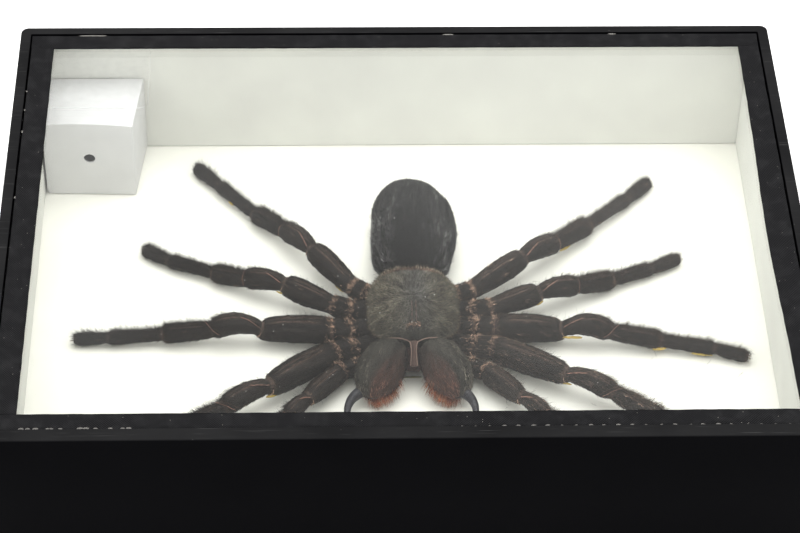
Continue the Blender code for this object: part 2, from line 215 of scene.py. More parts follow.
def make_dust_group():
    """Tiny scattered specks: 1 on a speck, 0 between them."""
    inputs = [("Places", "NodeSocketVector", None), ("Scale", "NodeSocketFloat", 0.6),
              ("Size", "NodeSocketFloat", 0.08)]
    group, given, result = new_group("dust", inputs, [("Speck", "NodeSocketFloat")])
    cells = add_node(group, "ShaderNodeTexVoronoi",
                     {"Vector": given.outputs["Places"], "Scale": given.outputs["Scale"]})
    edge = calculate(group, 'SUBTRACT', given.outputs["Size"], cells.outputs["Distance"])
    clamped = add_node(group, "ShaderNodeClamp", {"Value": times(group, edge, 40.0)}).outputs[0]
    group.links.new(clamped, result.inputs["Speck"])
    return group


grain_group = make_grain_group()
dust_group = make_dust_group()


def use_group(tree, group, inputs):
    return add_node(tree, "ShaderNodeGroup", inputs, node_tree=group).outputs


print("shared groups:", grain_group.name, "and", dust_group.name)

# %% [markdown]
# ## The finishes of the box
#
# The rails are light wood in black foil: dark, half shiny, with faint scuffs, and their faces that
# look up are painted greyer, a painted sheen. The tape is black cloth, whose threads cross about
# three times in a millimetre. The card is white and matt with a faint grain; the liners and the
# carton are painted greyer than the board, a painted shade. None of them needs a picture: noise
# and sine waves give the same detail, and stay sharp at any size.

# %% Foil and tape
def make_foil():
    material, tree, shader = new_material("black foil", {"Specular IOR Level": 0.012})
    places = object_places(tree)
    facing = add_node(tree, "ShaderNodeNewGeometry").outputs["Normal"]
    upward = add_node(tree, "ShaderNodeSeparateXYZ", {"Vector": facing}).outputs["Z"]
    upward_sheen_and_dust = remap(tree, upward, 0.3, 1.0)
    grain = use_group(tree, grain_group, {"Places": places, "Cloud Scale": 0.05, "Grain Scale": 2.5,
                                          "Grain Depth": 0.012 * MM})
    scratches = noise_value(tree, object_places(tree, (0.06, 2.4, 2.4)), 1.6, 2.0)
    scuff = remap(tree, scratches, 0.64, 0.74)
    dust = use_group(tree, dust_group, {"Places": places, "Scale": 0.30, "Size": 0.035})["Speck"]
    # the faces that look up are painted a little greyer, a painted sheen that stands in for the bright
    # sky they reflect, and only they gather scuffs and dust
    clean = blend_colours(tree, grain["Cloud"], colour(0.0006, 0.0006, 0.0009),
                          colour(0.0014, 0.0014, 0.0018))
    cloudy = remap(tree, grain["Cloud"], 0.25, 0.75, 0.5, 1.0)
    black = blend_colours(tree, times(tree, upward_sheen_and_dust, cloudy), clean, colour(0.0125, 0.0125, 0.0130))
    scuffed = blend_colours(tree, times(tree, scuff, upward_sheen_and_dust, 0.35), black, colour(0.06, 0.06, 0.06))
    dusty = blend_colours(tree, times(tree, dust, upward_sheen_and_dust, 0.5), scuffed, colour(0.3, 0.29, 0.27))
    feed(tree, shader, {"Base Color": dusty, "Normal": grain["Normal"],
                        "Roughness": remap(tree, grain["Cloud"], 0.3, 0.7, 0.36, 0.48)})
    return material


THREAD_PITCH = 0.62  # the length of one wave of the weave, over one thread and under the next


def make_tape():
    material, tree, shader = new_material("black cloth tape", {"Specular IOR Level": 0.04})
    places = object_places(tree)
    split = add_node(tree, "ShaderNodeSeparateXYZ", {"Vector": places})
    turns = 2 * math.pi / THREAD_PITCH
    waves = [calculate(tree, 'SINE', times(tree, split.outputs[axis], turns)) for axis in "XY"]
    weave = remap(tree, times(tree, *waves), -1.0, 1.0)
    wear = noise_value(tree, places, 0.35, 4.0)
    dust = use_group(tree, dust_group, {"Places": places, "Scale": 0.55, "Size": 0.06})["Speck"]
    black = blend_colours(tree, weave, colour(0.002, 0.002, 0.0024), colour(0.0115, 0.0115, 0.0125))
    worn = blend_colours(tree, remap(tree, wear, 0.45, 0.8, 0.0, 0.7), black, colour(0.016, 0.016, 0.017))
    dusty = blend_colours(tree, times(tree, dust, 0.6), worn, colour(0.35, 0.33, 0.3))
    feed(tree, shader, {"Base Color": dusty, "Normal": bumps(tree, weave, 0.10),
                        "Roughness": remap(tree, weave, 0.0, 1.0, 0.72, 0.5)})
    return material


cloth_tape = make_tape()
print("the tape's weave repeats every", THREAD_PITCH, "mm")


# %% Card, paper and hardboard
def make_card(name, light, dark, cloud_scale, grain_depth):
    """White card or paper: matt, with broad faint clouds and a fine tooth."""
    material, tree, shader = new_material(name, {"Specular IOR Level": 0.25, "Roughness": 0.75})
    grain = use_group(tree, grain_group, {"Places": object_places(tree), "Cloud Scale": cloud_scale,
                                          "Grain Scale": 3.0, "Grain Depth": grain_depth * MM})
    tint = blend_colours(tree, remap(tree, grain["Cloud"], 0.3, 0.7), colour(*dark), colour(*light))
    feed(tree, shader, {"Base Color": tint, "Normal": grain["Normal"]})
    return material


def make_hardboard():
    material, tree, shader = new_material("hardboard", {"Specular IOR Level": 0.3, "Roughness": 0.7})
    grain = use_group(tree, grain_group, {"Places": object_places(tree), "Cloud Scale": 0.06,
                                          "Grain Scale": 1.8, "Grain Depth": 0.08 * MM})
    fibres = blend_colours(tree, remap(tree, grain["Grain"], 0.35, 0.65), colour(0.16, 0.10, 0.06),
                           colour(0.28, 0.19, 0.12))
    cloudy = blend_colours(tree, times(tree, grain["Cloud"], 0.4), fibres, colour(0.22, 0.15, 0.09))
    feed(tree, shader, {"Base Color": cloudy, "Normal": grain["Normal"]})
    return material


white_card = make_card("white card", (0.86, 0.85, 0.79), (0.83, 0.82, 0.755), 0.03, 0.01)
# the liner card and the carton paper are greyer than the board's card: painted shade, for the walls and the
# carton's front that face away from the light
liner_card_painted_shade = make_card("liner card with painted shade", (0.63, 0.635, 0.592), (0.582, 0.582, 0.549), 0.06, 0.02)
carton_paper_painted_shade = make_card("carton paper with painted shade", (0.598, 0.598, 0.598), (0.558, 0.558, 0.558), 0.12, 0.015)


def finish_node(node, material):
    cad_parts[node].data.materials[0] = material


SIDES = ("front", "back", "left", "right")
for side in SIDES:
    finish_node("liner_" + side, liner_card_painted_shade)
finish_node("backing_board", white_card)
finish_node("back_panel", make_hardboard())
print("card on", len(SIDES), "liners and the backing board")

# %% [markdown]
# ## The glass and the clear film
#
# Real glass bends light on its way in and out, and the renderer would then find no straight way
# from the lamps to the card. A common answer is to let shadow rays and scattered rays pass as if
# the pane weren't there, and keep the true glass for what the eye sees. The film on the glass is
# thin and faintly milky, so a mostly clear surface does.

# %% Glass and film
def box_mm(node):
    low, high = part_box(node)
    return low / MM, high / MM


def make_glass():
    material, tree, shader = new_material("glass", {
        "Base Color": colour(0.992, 1.0, 0.994), "Roughness": 0.0, "IOR": 1.5, "Transmission Weight": 1.0})
    path = add_node(tree, "ShaderNodeLightPath")
    passes = calculate(tree, 'MAXIMUM', path.outputs["Is Shadow Ray"], path.outputs["Is Diffuse Ray"])
    clear = add_node(tree, "ShaderNodeBsdfTransparent", {"Color": colour(0.93, 0.935, 0.93)})
    mixed = add_node(tree, "ShaderNodeMixShader", {0: passes})
    tree.links.new(shader.outputs[0], mixed.inputs[1])
    tree.links.new(clear.outputs[0], mixed.inputs[2])
    tree.links.new(mixed.outputs[0], tree.nodes["Material Output"].inputs["Surface"])
    return material


FILM_EDGE = 0.28


def make_film():
    """Almost nothing but a faint scuff, and a grey line where the film was cut."""
    grey = colour(0.45, 0.45, 0.46)
    material, tree, shader = new_material("clear film", {"Base Color": grey, "Roughness": 0.2})
    places = object_places(tree)
    scuffs = remap(tree, noise_value(tree, places, 0.5, 4.0), 0.4, 0.7, 0.0, 0.02)
    split = add_node(tree, "ShaderNodeSeparateXYZ", {"Vector": places})
    low, high = box_mm("clear_label")
    front = remap(tree, split.outputs["Y"], low.y + FILM_EDGE, low.y, 0.0, 0.40)
    side = remap(tree, split.outputs["X"], high.x - FILM_EDGE, high.x, 0.0, 0.12)
    edges = calculate(tree, 'MAXIMUM', front, side)
    feed(tree, shader, {"Alpha": calculate(tree, 'ADD', scuffs, edges)})
    return material


finish_node("glass_pane", make_glass())
finish_node("clear_label", make_film())
low, high = box_mm("glass_pane")
print("the pane is", round(high.z - low.z, 1), "mm thick")

# %% [markdown]
# ## A skin from a row of rings
#
# A leg, an abdomen and a jaw are all long rounded bodies, and so is a rail: each can be made by
# drawing one closed ring and pushing it along. `create_circle` draws the first ring, and
# `extrude_edge_only` gives the next one, whose corners are then set in place. The points of all
# rings sit in one array, a row for each ring. The same array later tells where hair can grow.

# %% Helpers for skins
def skin(rings, closed=False):
    """Skins a row of closed rings, in millimetres. A closed row is joined end to end."""
    bm = bmesh.new()
    made = bmesh.ops.create_circle(bm, cap_ends=False, segments=rings.shape[1], radius=1.0)
    corners, edges = made["verts"], bm.edges[:]
    first = edges
    for index, ring in enumerate(rings):
        if index:
            grown = bmesh.ops.extrude_edge_only(bm, edges=edges)["geom"]
            corners = [item for item in grown if isinstance(item, bmesh.types.BMVert)]
            fresh = set(corners)
            edges = [item for item in grown if isinstance(item, bmesh.types.BMEdge)
                     and item.verts[0] in fresh and item.verts[1] in fresh]
        for corner, place in zip(corners, ring):
            corner.co = place
    if closed:
        bmesh.ops.bridge_loops(bm, edges=first + edges)
    else:
        bmesh.ops.edgeloop_fill(bm, edges=first)
        bmesh.ops.edgeloop_fill(bm, edges=edges)
    return bm


def add_piece(name, bm, material, replaces=(), sharp=60):
    """Turns a mesh in millimetres into a piece in metres that rides on the box."""
    bmesh.ops.recalc_face_normals(bm, faces=bm.faces)
    bmesh.ops.scale(bm, vec=(MM, MM, MM), verts=bm.verts)
    mesh = bpy.data.meshes.new(name)
    bm.to_mesh(mesh)
    bm.free()
    mesh.shade_smooth()
    mesh.set_sharp_from_angle(angle=math.radians(sharp))
    return place_mesh(name, mesh, material, replaces)


def place_mesh(name, mesh, material, replaces=()):
    mesh.materials.append(material)
    piece = bpy.data.objects.new(name, mesh)
    bpy.context.scene.collection.objects.link(piece)
    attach(piece, "root")
    if replaces:
        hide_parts(*replaces)
    return piece


def keep_values(piece, name, values):
    """Stores one number, or one vector, for each corner of a mesh, for its material to read."""
    values = np.asarray(values, dtype=np.float32)
    kind, key = ('FLOAT_VECTOR', "vector") if values.ndim > 1 else ('FLOAT', "value")
    piece.data.attributes.new(name, kind, 'POINT').data.foreach_set(key, values.ravel())


BOARD = box_mm("backing_board")[1].z
print("the board's face is", round(BOARD, 1), "mm above the table")

# %% [markdown]
# ## The frame
#
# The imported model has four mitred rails. On the real frame one sheet of foil wraps them all, so
# no mitre shows. One ring of rounded rectangles makes that skin: each rectangle is a step of the
# rail's section, from the table up the outside, over the rim and down the inside. The rim that
# shows is a millimetre narrower than the rails, except in front, because the tape covers the rest.

# %% The foil-wrapped frame
low, high = box_mm("rail_left")
RIM_WIDTH = high.x - low.x
OUTER_CORNER = 2.0
INNER_CORNER = 0.3
RIM_ROUND = 0.45
FOOT_BEVEL = 0.3
OPENING_EDGE = ((0.3, 0.0), (0.08, 0.08), (0.0, 0.3))  # out from the opening, and down from the rim
SEAM_SHIFT = 1.0  # how much narrower the rim is than the rails, except in front
CORNER_STEPS = 6


def rounded_rectangle(half_x, half_y, radius, height, middle=(0.0, 0.0)):
    points = []
    for quarter in range(4):
        side_x = 1 if quarter in (0, 3) else -1
        side_y = 1 if quarter in (0, 1) else -1
        for step in range(CORNER_STEPS + 1):
            turn = math.pi / 2 * (quarter + step / CORNER_STEPS)
            points.append((middle[0] + side_x * (half_x - radius) + radius * math.cos(turn),
                           middle[1] + side_y * (half_y - radius) + radius * math.sin(turn), height))
    return points


def frame_rings():
    low, high = cad_low / MM, cad_high / MM
    half_x, half_y, top = (high.x - low.x) / 2, (high.y - low.y) / 2, high.z
    section = [(FOOT_BEVEL, 0.0), (0.0, FOOT_BEVEL), (0.0, top * 0.5), (0.0, top - RIM_ROUND)]
    for step in range(1, 4):
        turn = math.pi / 2 * step / 3
        section.append((RIM_ROUND * (1 - math.cos(turn)), top - RIM_ROUND * (1 - math.sin(turn))))
    rings = []
    for inset, height in section:
        radius = max(INNER_CORNER, OUTER_CORNER - inset)
        rings.append(rounded_rectangle(half_x - inset, half_y - inset, radius, height))
    # the opening grows to the left, to the right and to the back, so its middle moves back
    open_x, open_y = half_x - RIM_WIDTH + SEAM_SHIFT, half_y - RIM_WIDTH + SEAM_SHIFT / 2
    for grown, down in (*OPENING_EDGE, (0.0, top)):
        rings.append(rounded_rectangle(open_x + grown, open_y + grown, INNER_CORNER, top - down,
                                       (0.0, SEAM_SHIFT / 2)))
    return np.array(rings)


foil_frame = add_piece("foil_frame", skin(frame_rings(), closed=True), make_foil(),
                       ["rail_" + side for side in SIDES], sharp=35)
print("the frame's skin has", len(foil_frame.data.polygons), "faces")

# %% [markdown]
# ## The tape and the glue
#
# The cloth tape was laid by hand, so it waves a little and its cut edge isn't quite straight. A
# fine grid of rings across each strip lets noise move it by a tenth of a millimetre. On three
# sides the tape climbs the edge of the rim, and the right strip bows out over the glass. Along
# the seam to the rim the glue shows as a row of small pale beads, which are cheap to make: a
# flattened sphere each, joined in one mesh.

# %% Tape strips
TAPE_STEP = 1.5
TAPE_WAVE = 0.06
TAPE_EDGE_WAVE = 0.10
TAPE_OVERLAP = 0.35
TAPE_RISE = 0.45  # how far the outer edges climb up the rim
TAPE_BOW = 1.0  # how far the right strip's inner edge bows over the glass
BOW_MIDDLE = -8.0
BOW_SPREAD = 34.0
TAPE_SECTION = (  # shares of the strip's width and of its thickness
    (0.0, 0.0), (0.0, 0.6), (0.02, 1.0), (0.25, 1.0), (0.5, 1.0), (0.75, 1.0), (0.98, 1.0),
    (1.0, 0.6), (1.0, 0.0), (0.5, 0.0))


def tape_reach(side):
    """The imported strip's corners, moved out to where the narrower rim begins."""
    low, high = box_mm("tape_" + side)
    if side in ("left", "right"):
        low.y -= TAPE_OVERLAP
        high.y += TAPE_OVERLAP
    if side != "right":
        low.x -= SEAM_SHIFT
    if side != "left":
        high.x += SEAM_SHIFT
    if side == "back":
        high.y += SEAM_SHIFT
    return low, high


def tape_rings(side):
    """Rings across a strip, each a flat rectangle with worn corners."""
    low, high = tape_reach(side)
    long_axis = 0 if high.x - low.x > high.y - low.y else 1
    wide_axis = 1 - long_axis
    count = int((high[long_axis] - low[long_axis]) / TAPE_STEP)
    rings = np.zeros((count + 1, len(TAPE_SECTION), 3))
    for index, ring in enumerate(rings):
        place = low[long_axis] + (high[long_axis] - low[long_axis]) * index / count
        for point, (share, height) in zip(ring, TAPE_SECTION):
            ragged = TAPE_EDGE_WAVE * noise.noise(Vector((place * 0.25, share * 9.0, low.x)))
            point[long_axis] = place
            point[wide_axis] = low[wide_axis] + (high[wide_axis] - low[wide_axis]) * share
            point[wide_axis] += ragged * (1 if share > 0.5 else -1) - TAPE_EDGE_WAVE * (share - 0.5)
            if side == "right":
                point[0] -= TAPE_BOW * (1 - share) * math.exp(-((place - BOW_MIDDLE) / BOW_SPREAD) ** 2)
            wave = TAPE_WAVE * noise.noise(Vector((place * 0.12, share * 2.0, low.y)))
            point[2] = low.z + (high.z - low.z) * height + wave * height
            if side != "front":
                outer = 1 - share if side == "left" else share
                point[2] += TAPE_RISE * height * max(0.0, outer * 2 - 1)
    return rings


for side in SIDES:
    add_piece("cloth_tape_" + side, skin(tape_rings(side)), cloth_tape, ("tape_" + side,))
low, high = box_mm("tape_front")
print("four strips of tape, up to", round(high.y - low.y, 1), "mm wide")

# %% Glue beads along the seam
BEAD_PITCH = 3.3
BEAD_SIZE = (0.62, 0.40, 0.15)
DENSE_ROW = (12.0, 94.0)  # from and to, along X
FRONT_SMEARS = (-89.5, -88.0, -86.2, -83.4, -82.6, -80.5, -76.0, -74.6, -72.4, -69.0, -66.2, -64.8)
BACK_SMEARS = ((-81.5, 3.2), (-79.0, 2.0), (14.0, 1.6), (58.0, 1.2))  # along X, half length
LEFT_SMEARS = (49.0, 41.5, 33.0, 8.0)  # along Y


def make_glue(name, tint, thickness):
    material, tree, shader = new_material(name, {
        "Roughness": 0.22, "IOR": 1.48, "Transmission Weight": thickness})
    lumps = noise_value(tree, object_places(tree), 1.3, 3.0)
    shade = blend_colours(tree, lumps, scaled(tint, 0.75), colour(*tint))
    feed(tree, shader, {"Base Color": shade, "Normal": bumps(tree, lumps, 0.05)})
    return material


def add_bead(bm, place, size, turn=0.0):
    matrix = (Matrix.Translation(place) @ Matrix.Rotation(turn, 4, 'Z')
              @ Matrix.Diagonal((*size, 1.0)))
    bmesh.ops.create_icosphere(bm, subdivisions=2, radius=1.0, matrix=matrix)


def seam_beads():
    """Beads where the tape meets the rim: a dense row in front, and a few smears elsewhere."""
    chance = np.random.default_rng(11)
    bm = bmesh.new()
    low, high = box_mm("tape_front")
    for place in np.arange(*DENSE_ROW, BEAD_PITCH):
        swell = chance.uniform(0.35, 1.15)
        spot = Vector((place + chance.uniform(-0.3, 0.3), low.y + 0.25, high.z + 0.02))
        add_bead(bm, spot, [size * swell for size in BEAD_SIZE], chance.uniform(-0.2, 0.2))
    for place in FRONT_SMEARS:
        swell = chance.uniform(0.7, 1.3)
        add_bead(bm, Vector((place, low.y + 0.3, high.z + 0.02)), [size * swell for size in BEAD_SIZE])
    height = high.z + TAPE_RISE
    back_y = box_mm("tape_back")[1].y + SEAM_SHIFT
    for place, long in BACK_SMEARS:
        add_bead(bm, Vector((place, back_y - 0.1, height)), (long, 0.25, 0.14))
    left_x = box_mm("tape_left")[0].x - SEAM_SHIFT
    for place in LEFT_SMEARS:
        add_bead(bm, Vector((left_x + 0.1, place, height)), (0.25, chance.uniform(0.3, 0.8), 0.14))
    return bm


seam_glue = make_glue("seam glue", (0.15, 0.143, 0.13), 0.35)
beads = add_piece("seam_glue_beads", seam_beads(), seam_glue)
print("the seam glue has", len(beads.data.polygons), "faces")

# %% [markdown]
# ## The folded paper box
#
# It is one sheet of thin board folded up, and its lid springs back, so the lid's front edge bows
# up in the middle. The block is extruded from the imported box's own corners. Its long edges are
# divided so that the lid can bow, its folds are beveled, and a wall is given to it before the
# round hole is punched.

# %% The carton
PAPER = 0.5
FOLD_ROUND = 0.22
FOOT_HEIGHT = 1.2
FOOT_DRAW = 0.03  # the share by which the foot draws in
LID_BOW = 0.75
LID_TILT = 0.35  # how much lower the lid's front edge is at its right end
LID_STEPS = 12
HOLE_RADIUS = 1.5
HOLE_PLACE = (-82.0, BOARD + 13.3)


def carton_corners():
    """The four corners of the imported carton's footprint, from front left, anticlockwise."""
    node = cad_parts["repellent_carton"].data
    base = box_mm("repellent_carton")[0].z
    ground = [vertex.co.xy / MM for vertex in node.vertices if vertex.co.z / MM < base + 0.05]
    wanted = ((-1, -1), (1, -1), (1, 1), (-1, 1))
    return [max(ground, key=lambda spot: spot.x * x + spot.y * y) for x, y in wanted]


def round_folds(bm, edges):
    bmesh.ops.bevel(bm, geom=edges, offset=FOLD_ROUND, segments=3, profile=0.5, affect='EDGES', material=-1)


def divide(bm, place, direction):
    geometry = bm.verts[:] + bm.edges[:] + bm.faces[:]
    bmesh.ops.bisect_plane(bm, geom=geometry, plane_co=place, plane_no=direction)


def carton_block():
    low, high = box_mm("repellent_carton")
    bm = bmesh.new()
    base = bm.faces.new([bm.verts.new((spot.x, spot.y, low.z)) for spot in carton_corners()])
    raised = bmesh.ops.extrude_face_region(bm, geom=[base])
    top = [item for item in raised["geom"] if isinstance(item, bmesh.types.BMVert)]
    bmesh.ops.translate(bm, vec=(0, 0, high.z - low.z), verts=top)
    round_folds(bm, [edge for edge in bm.edges if abs(edge.verts[0].co.z - edge.verts[1].co.z) > 1.0])
    round_folds(bm, [edge for edge in bm.edges if min(vert.co.z for vert in edge.verts) > high.z - 0.01])
    for step in range(1, LID_STEPS):
        divide(bm, (low.x + (high.x - low.x) * step / LID_STEPS, 0, 0), (1, 0, 0))
    divide(bm, (0, 0, low.z + FOOT_HEIGHT), (0, 0, 1))
    middle = (low + high) / 2
    for vert in bm.verts:
        if vert.co.z < low.z + 0.01:
            vert.co.xy += (middle.xy - vert.co.xy) * FOOT_DRAW
        along = (vert.co.x - low.x) / (high.x - low.x)
        depth = (vert.co.y - low.y) / (high.y - low.y)
        if vert.co.z > high.z - 3 * FOLD_ROUND:
            bow = LID_BOW * math.sin(math.pi * along) ** 0.8
            vert.co.z += bow * (1 - depth) - LID_TILT * along * (1 - depth)
    return bm


def helper_object(name, bm):
    mesh = bpy.data.meshes.new(name)
    bm.to_mesh(mesh)
    bm.free()
    helper = bpy.data.objects.new(name, mesh)
    bpy.context.scene.collection.objects.link(helper)
    return helper


def punched(bm):
    """Gives a closed block a wall, then takes a round hole out of its front."""
    bmesh.ops.recalc_face_normals(bm, faces=bm.faces)
    block = helper_object("carton_block", bm)
    punch = bmesh.new()
    place = Matrix.Translation((HOLE_PLACE[0], carton_corners()[0].y, HOLE_PLACE[1]))
    bmesh.ops.create_cone(punch, cap_ends=True, segments=40, radius1=HOLE_RADIUS, radius2=HOLE_RADIUS,
                          depth=6.0, matrix=place @ Matrix.Rotation(math.pi / 2, 4, 'X'))
    cutter = helper_object("punch", punch)
    wall = block.modifiers.new("wall", 'SOLIDIFY')
    wall.thickness = PAPER
    wall.offset = -1.0
    hole = block.modifiers.new("hole", 'BOOLEAN')
    hole.object = cutter
    finished = block.evaluated_get(bpy.context.evaluated_depsgraph_get())
    result = bmesh.new()
    result.from_mesh(finished.to_mesh())
    for helper in (block, cutter):
        bpy.data.objects.remove(helper)
    return result


carton = add_piece("paper_carton", punched(carton_block()), carton_paper_painted_shade,
                   ("repellent_carton",), sharp=50)
print("the carton has", len(carton.data.polygons), "faces")

# %% [markdown]
# ## Rings along a path
#
# A leg is a chain of joints, a fang is a hook, a jaw is a bent barrel. In each case a few
# stations along a path are known, and the skin needs many more. One helper reads the stations at
# even steps and rounds off the corners; another stands a ring on each step, square to the path.
# The wrinkles of dried skin come from noise that moves each corner in or out.

# %% Helpers for rings along a path
UP = np.array((0.0, 0.0, 1.0))


def unit(vectors):
    return vectors / np.maximum(np.linalg.norm(vectors, axis=-1, keepdims=True), 1e-9)


def rounded(rows, passes):
    for _ in range(passes):
        rows[1:-1] = (rows[:-2] + 2 * rows[1:-1] + rows[2:]) / 4
    return rows


def ring_turns(sides):
    return 2 * np.pi * np.arange(sides) / sides


def distance_along(places):
    return np.concatenate([[0.0], np.cumsum(np.linalg.norm(np.diff(places, axis=0), axis=1))])


def even_steps(stations, step, passes=2):
    """Stations at even steps along a path. The first three numbers of each are its place."""
    stations = np.array(stations, dtype=float)
    along = distance_along(stations[:, :3])
    fine = np.linspace(0.0, along[-1], int(along[-1] / step) + 1)
    return rounded(np.stack([np.interp(fine, along, column) for column in stations.T], axis=1), passes)


def path_rings(rows, sides):
    """Rings square to a path. A row is x, y, z, half width, half height."""
    along = unit(np.gradient(rows[:, :3], axis=0))
    side = unit(np.cross(along, UP))
    rise = np.cross(side, along)
    turn = ring_turns(sides)[None, :, None]
    return (rows[:, None, :3] + rows[:, None, 3:4] * np.cos(turn) * side[:, None]
            + rows[:, None, 4:5] * np.sin(turn) * rise[:, None])


def noise_at(places):
    """One number of smooth noise for each place in an array."""
    flat = places.reshape(-1, 3)
    return np.array([noise.noise(Vector(place)) for place in flat]).reshape(places.shape[:-1])


def ring_places(rings, along_scale, around_scale, seed):
    """Where to read noise so that it runs lengthwise: slow along the rings, fast around them."""
    turn = ring_turns(rings.shape[1])
    places = np.empty(rings.shape)
    places[..., 0] = distance_along(rings.mean(axis=1))[:, None] * along_scale + seed
    places[..., 1] = np.cos(turn) * around_scale
    places[..., 2] = np.sin(turn) * around_scale
    return places


def lengthwise_noise(rings, along_scale, around_scale, seed):
    return noise_at(ring_places(rings, along_scale, around_scale, seed))


def pushed(rings, depth):
    """Moves each corner out from the middle of its ring by its own depth, in millimetres."""
    middle = rings.mean(axis=1, keepdims=True)
    return rings + unit(rings - middle) * depth[..., None]


def wrinkled(rings, depth, seed):
    """Broad folds and finer ones between them, both lengthwise."""
    folds = lengthwise_noise(rings, 0.07, 2.4, seed) + 0.5 * lengthwise_noise(rings, 0.30, 7.0, seed)
    return pushed(rings, depth * folds)


def grain_places(rings):
    """Lengthwise coordinates for the streaks in a material: along, and round, in millimetres."""
    middle = rings.mean(axis=1)
    places = rings - middle[:, None]
    places[..., 0] = distance_along(middle)[:, None] * 0.10 + places[..., 0] * 0.9
    return places.reshape(-1, 3)


trial_tube = skin(path_rings(even_steps([(0, 0, 0, 1, 1), (0, 9, 0, 1, 1)], 1.0), 8))
print("a trial tube has", len(trial_tube.faces), "faces")
trial_tube.free()

# %% [markdown]
# ## Hair
#
# Every part of the animal is furred: a short coat that lies back towards the tips, longer
# bristles that stand, and tufts at the joints. A hair curve would vanish in a plain mesh export,
# so each hair is a thin spike of mesh. Making them one by one would take minutes. Instead the
# corners of all spikes of a piece are worked out at once as arrays, and joined in a single mesh.
# Roots are drawn at random over a skin's rings, in step with the area that each cell covers.

# %% Helpers for hair
HAIR_WIDTH = 0.085
SPIKE = ((2, 1, 0), (0, 1, 3), (1, 2, 3), (2, 0, 3))
BENT_SPIKE = ((2, 1, 0), (0, 1, 4), (0, 4, 3), (1, 2, 5), (1, 5, 4), (2, 0, 3), (2, 3, 5),
              (3, 4, 6), (4, 5, 6), (5, 3, 6))


def plant(rings, chance, count, weight=None):
    """Draws hair roots on a skin. Gives their places, outward and lengthwise directions, and cells."""
    round_next = np.roll(rings, -1, axis=1)
    here, beside, ahead, across = rings[:-1], round_next[:-1], rings[1:], round_next[1:]
    along = ahead - here
    outward = np.cross(beside - here, along)
    area = np.linalg.norm(outward, axis=-1)
    middle = rings.mean(axis=1, keepdims=True)[:-1]
    if (outward * (here - middle)).sum() < 0:
        outward = -outward
    share = area * (1.0 if weight is None else weight[:-1])
    cells = chance.choice(share.size, size=count, p=(share / share.sum()).ravel())
    rows, columns = np.unravel_index(cells, share.shape)
    u, v = chance.random((2, count, 1))
    roots = ((here[rows, columns] * (1 - u) + beside[rows, columns] * u) * (1 - v)
             + (ahead[rows, columns] * (1 - u) + across[rows, columns] * u) * v)
    return roots, unit(outward[rows, columns]), unit(along[rows, columns]), rows, columns


def spikes(roots, directions, lengths, droop, width):
    """The corners of each hair in a batch, and the faces of one. Only hair that droops has a bend."""
    directions = unit(directions)
    lengths = np.broadcast_to(np.asarray(lengths, dtype=float), len(roots))[:, None]
    side = unit(np.cross(directions, UP + 0.01))
    rise = np.cross(side, directions)
    turns = ring_turns(3)[None, :, None]
    ring = (side[:, None] * np.cos(turns) + rise[:, None] * np.sin(turns)) * width / 2
    foot = (roots - directions * 0.05)[:, None]
    tip = roots + directions * lengths + droop * lengths * 0.5
    tip[:, 2] = np.maximum(tip[:, 2], BOARD + 0.03)
    if not np.any(droop):
        return np.concatenate([foot + ring, tip[:, None]], axis=1), SPIKE
    bend = roots + directions * lengths * 0.55 + droop * lengths * 0.12
    bend[:, 2] = np.maximum(bend[:, 2], BOARD + 0.05)
    return np.concatenate([foot + ring, bend[:, None] + ring * 0.75, tip[:, None]], axis=1), BENT_SPIKE


def hair_mesh(name, batches):
    """One mesh of thin spikes. A batch is roots, directions, lengths, droop, width and colours."""
    corners, faces, tints, start = [], [], [], 0
    for *shape, colours in batches:
        block, pattern = spikes(*shape)
        count, size = block.shape[:2]
        firsts = start + size * np.arange(count)
        corners.append(block.reshape(-1, 3))
        faces.append((np.array(pattern)[None] + firsts[:, None, None]).reshape(-1, 3))
        tints.append(np.repeat(colours, size, axis=0))
        start += size * count
    mesh = bpy.data.meshes.new(name)
    corners, faces = np.concatenate(corners) * MM, np.concatenate(faces)
    mesh.vertices.add(len(corners))
    mesh.vertices.foreach_set("co", corners.ravel())
    mesh.loops.add(faces.size)
    mesh.loops.foreach_set("vertex_index", faces.ravel())
    mesh.polygons.add(len(faces))
    mesh.polygons.foreach_set("loop_start", np.arange(len(faces)) * 3)
    mesh.update()
    mesh.shade_smooth()
    return mesh, np.concatenate(tints)


def tinted(chance, count, base, spread=0.35, pale=None, pale_share=0.0):
    """A colour for each hair: the base, a little lighter or darker, and a share of pale ones."""
    colours = np.array(base)[None] * np.exp(chance.normal(0.0, spread, (count, 1)))
    if pale is not None:
        chosen = chance.random(count) < pale_share
        colours[chosen] = np.array(pale) * np.exp(chance.normal(0.0, 0.25, (chosen.sum(), 1)))
    return colours


def make_hair_material():
    material, tree, shader = new_material("hair", {"Roughness": 0.6, "Specular IOR Level": 0.04})
    tint = add_node(tree, "ShaderNodeAttribute", attribute_name="tint").outputs["Vector"]
    tone = noise_value(tree, object_places(tree), 0.8)
    inputs = {0: tint, "Scale": remap(tree, tone, 0.3, 0.7, 0.7, 1.2)}
    varied = add_node(tree, "ShaderNodeVectorMath", inputs, operation='SCALE').outputs[0]
    feed(tree, shader, {"Base Color": varied})
    return material


hair_material = make_hair_material()


def add_hair(name, batches):
    mesh, tints = hair_mesh(name, batches)
    keep_values(place_mesh(name, mesh, hair_material), "tint", tints)
    print(name, "has", len(mesh.polygons), "faces")


# %% [markdown]
# ## The dried skin
#
# Under the hair the skin is dark brown and slightly shiny, streaked lengthwise, and pale where
# it is bare: at the joints, and in two narrow stripes along the top of each long segment. A
# streak has to follow a leg wherever the leg points, so it can't be read from plain object
# coordinates. Each skin carries its own lengthwise coordinates, and a number for how pale it is.

# %% The cuticle materials
DARK_SKIN = (0.0125, 0.0103, 0.0088)
BARE_SKIN = (0.17, 0.115, 0.09)
RED_SKIN = (0.050, 0.024, 0.018)


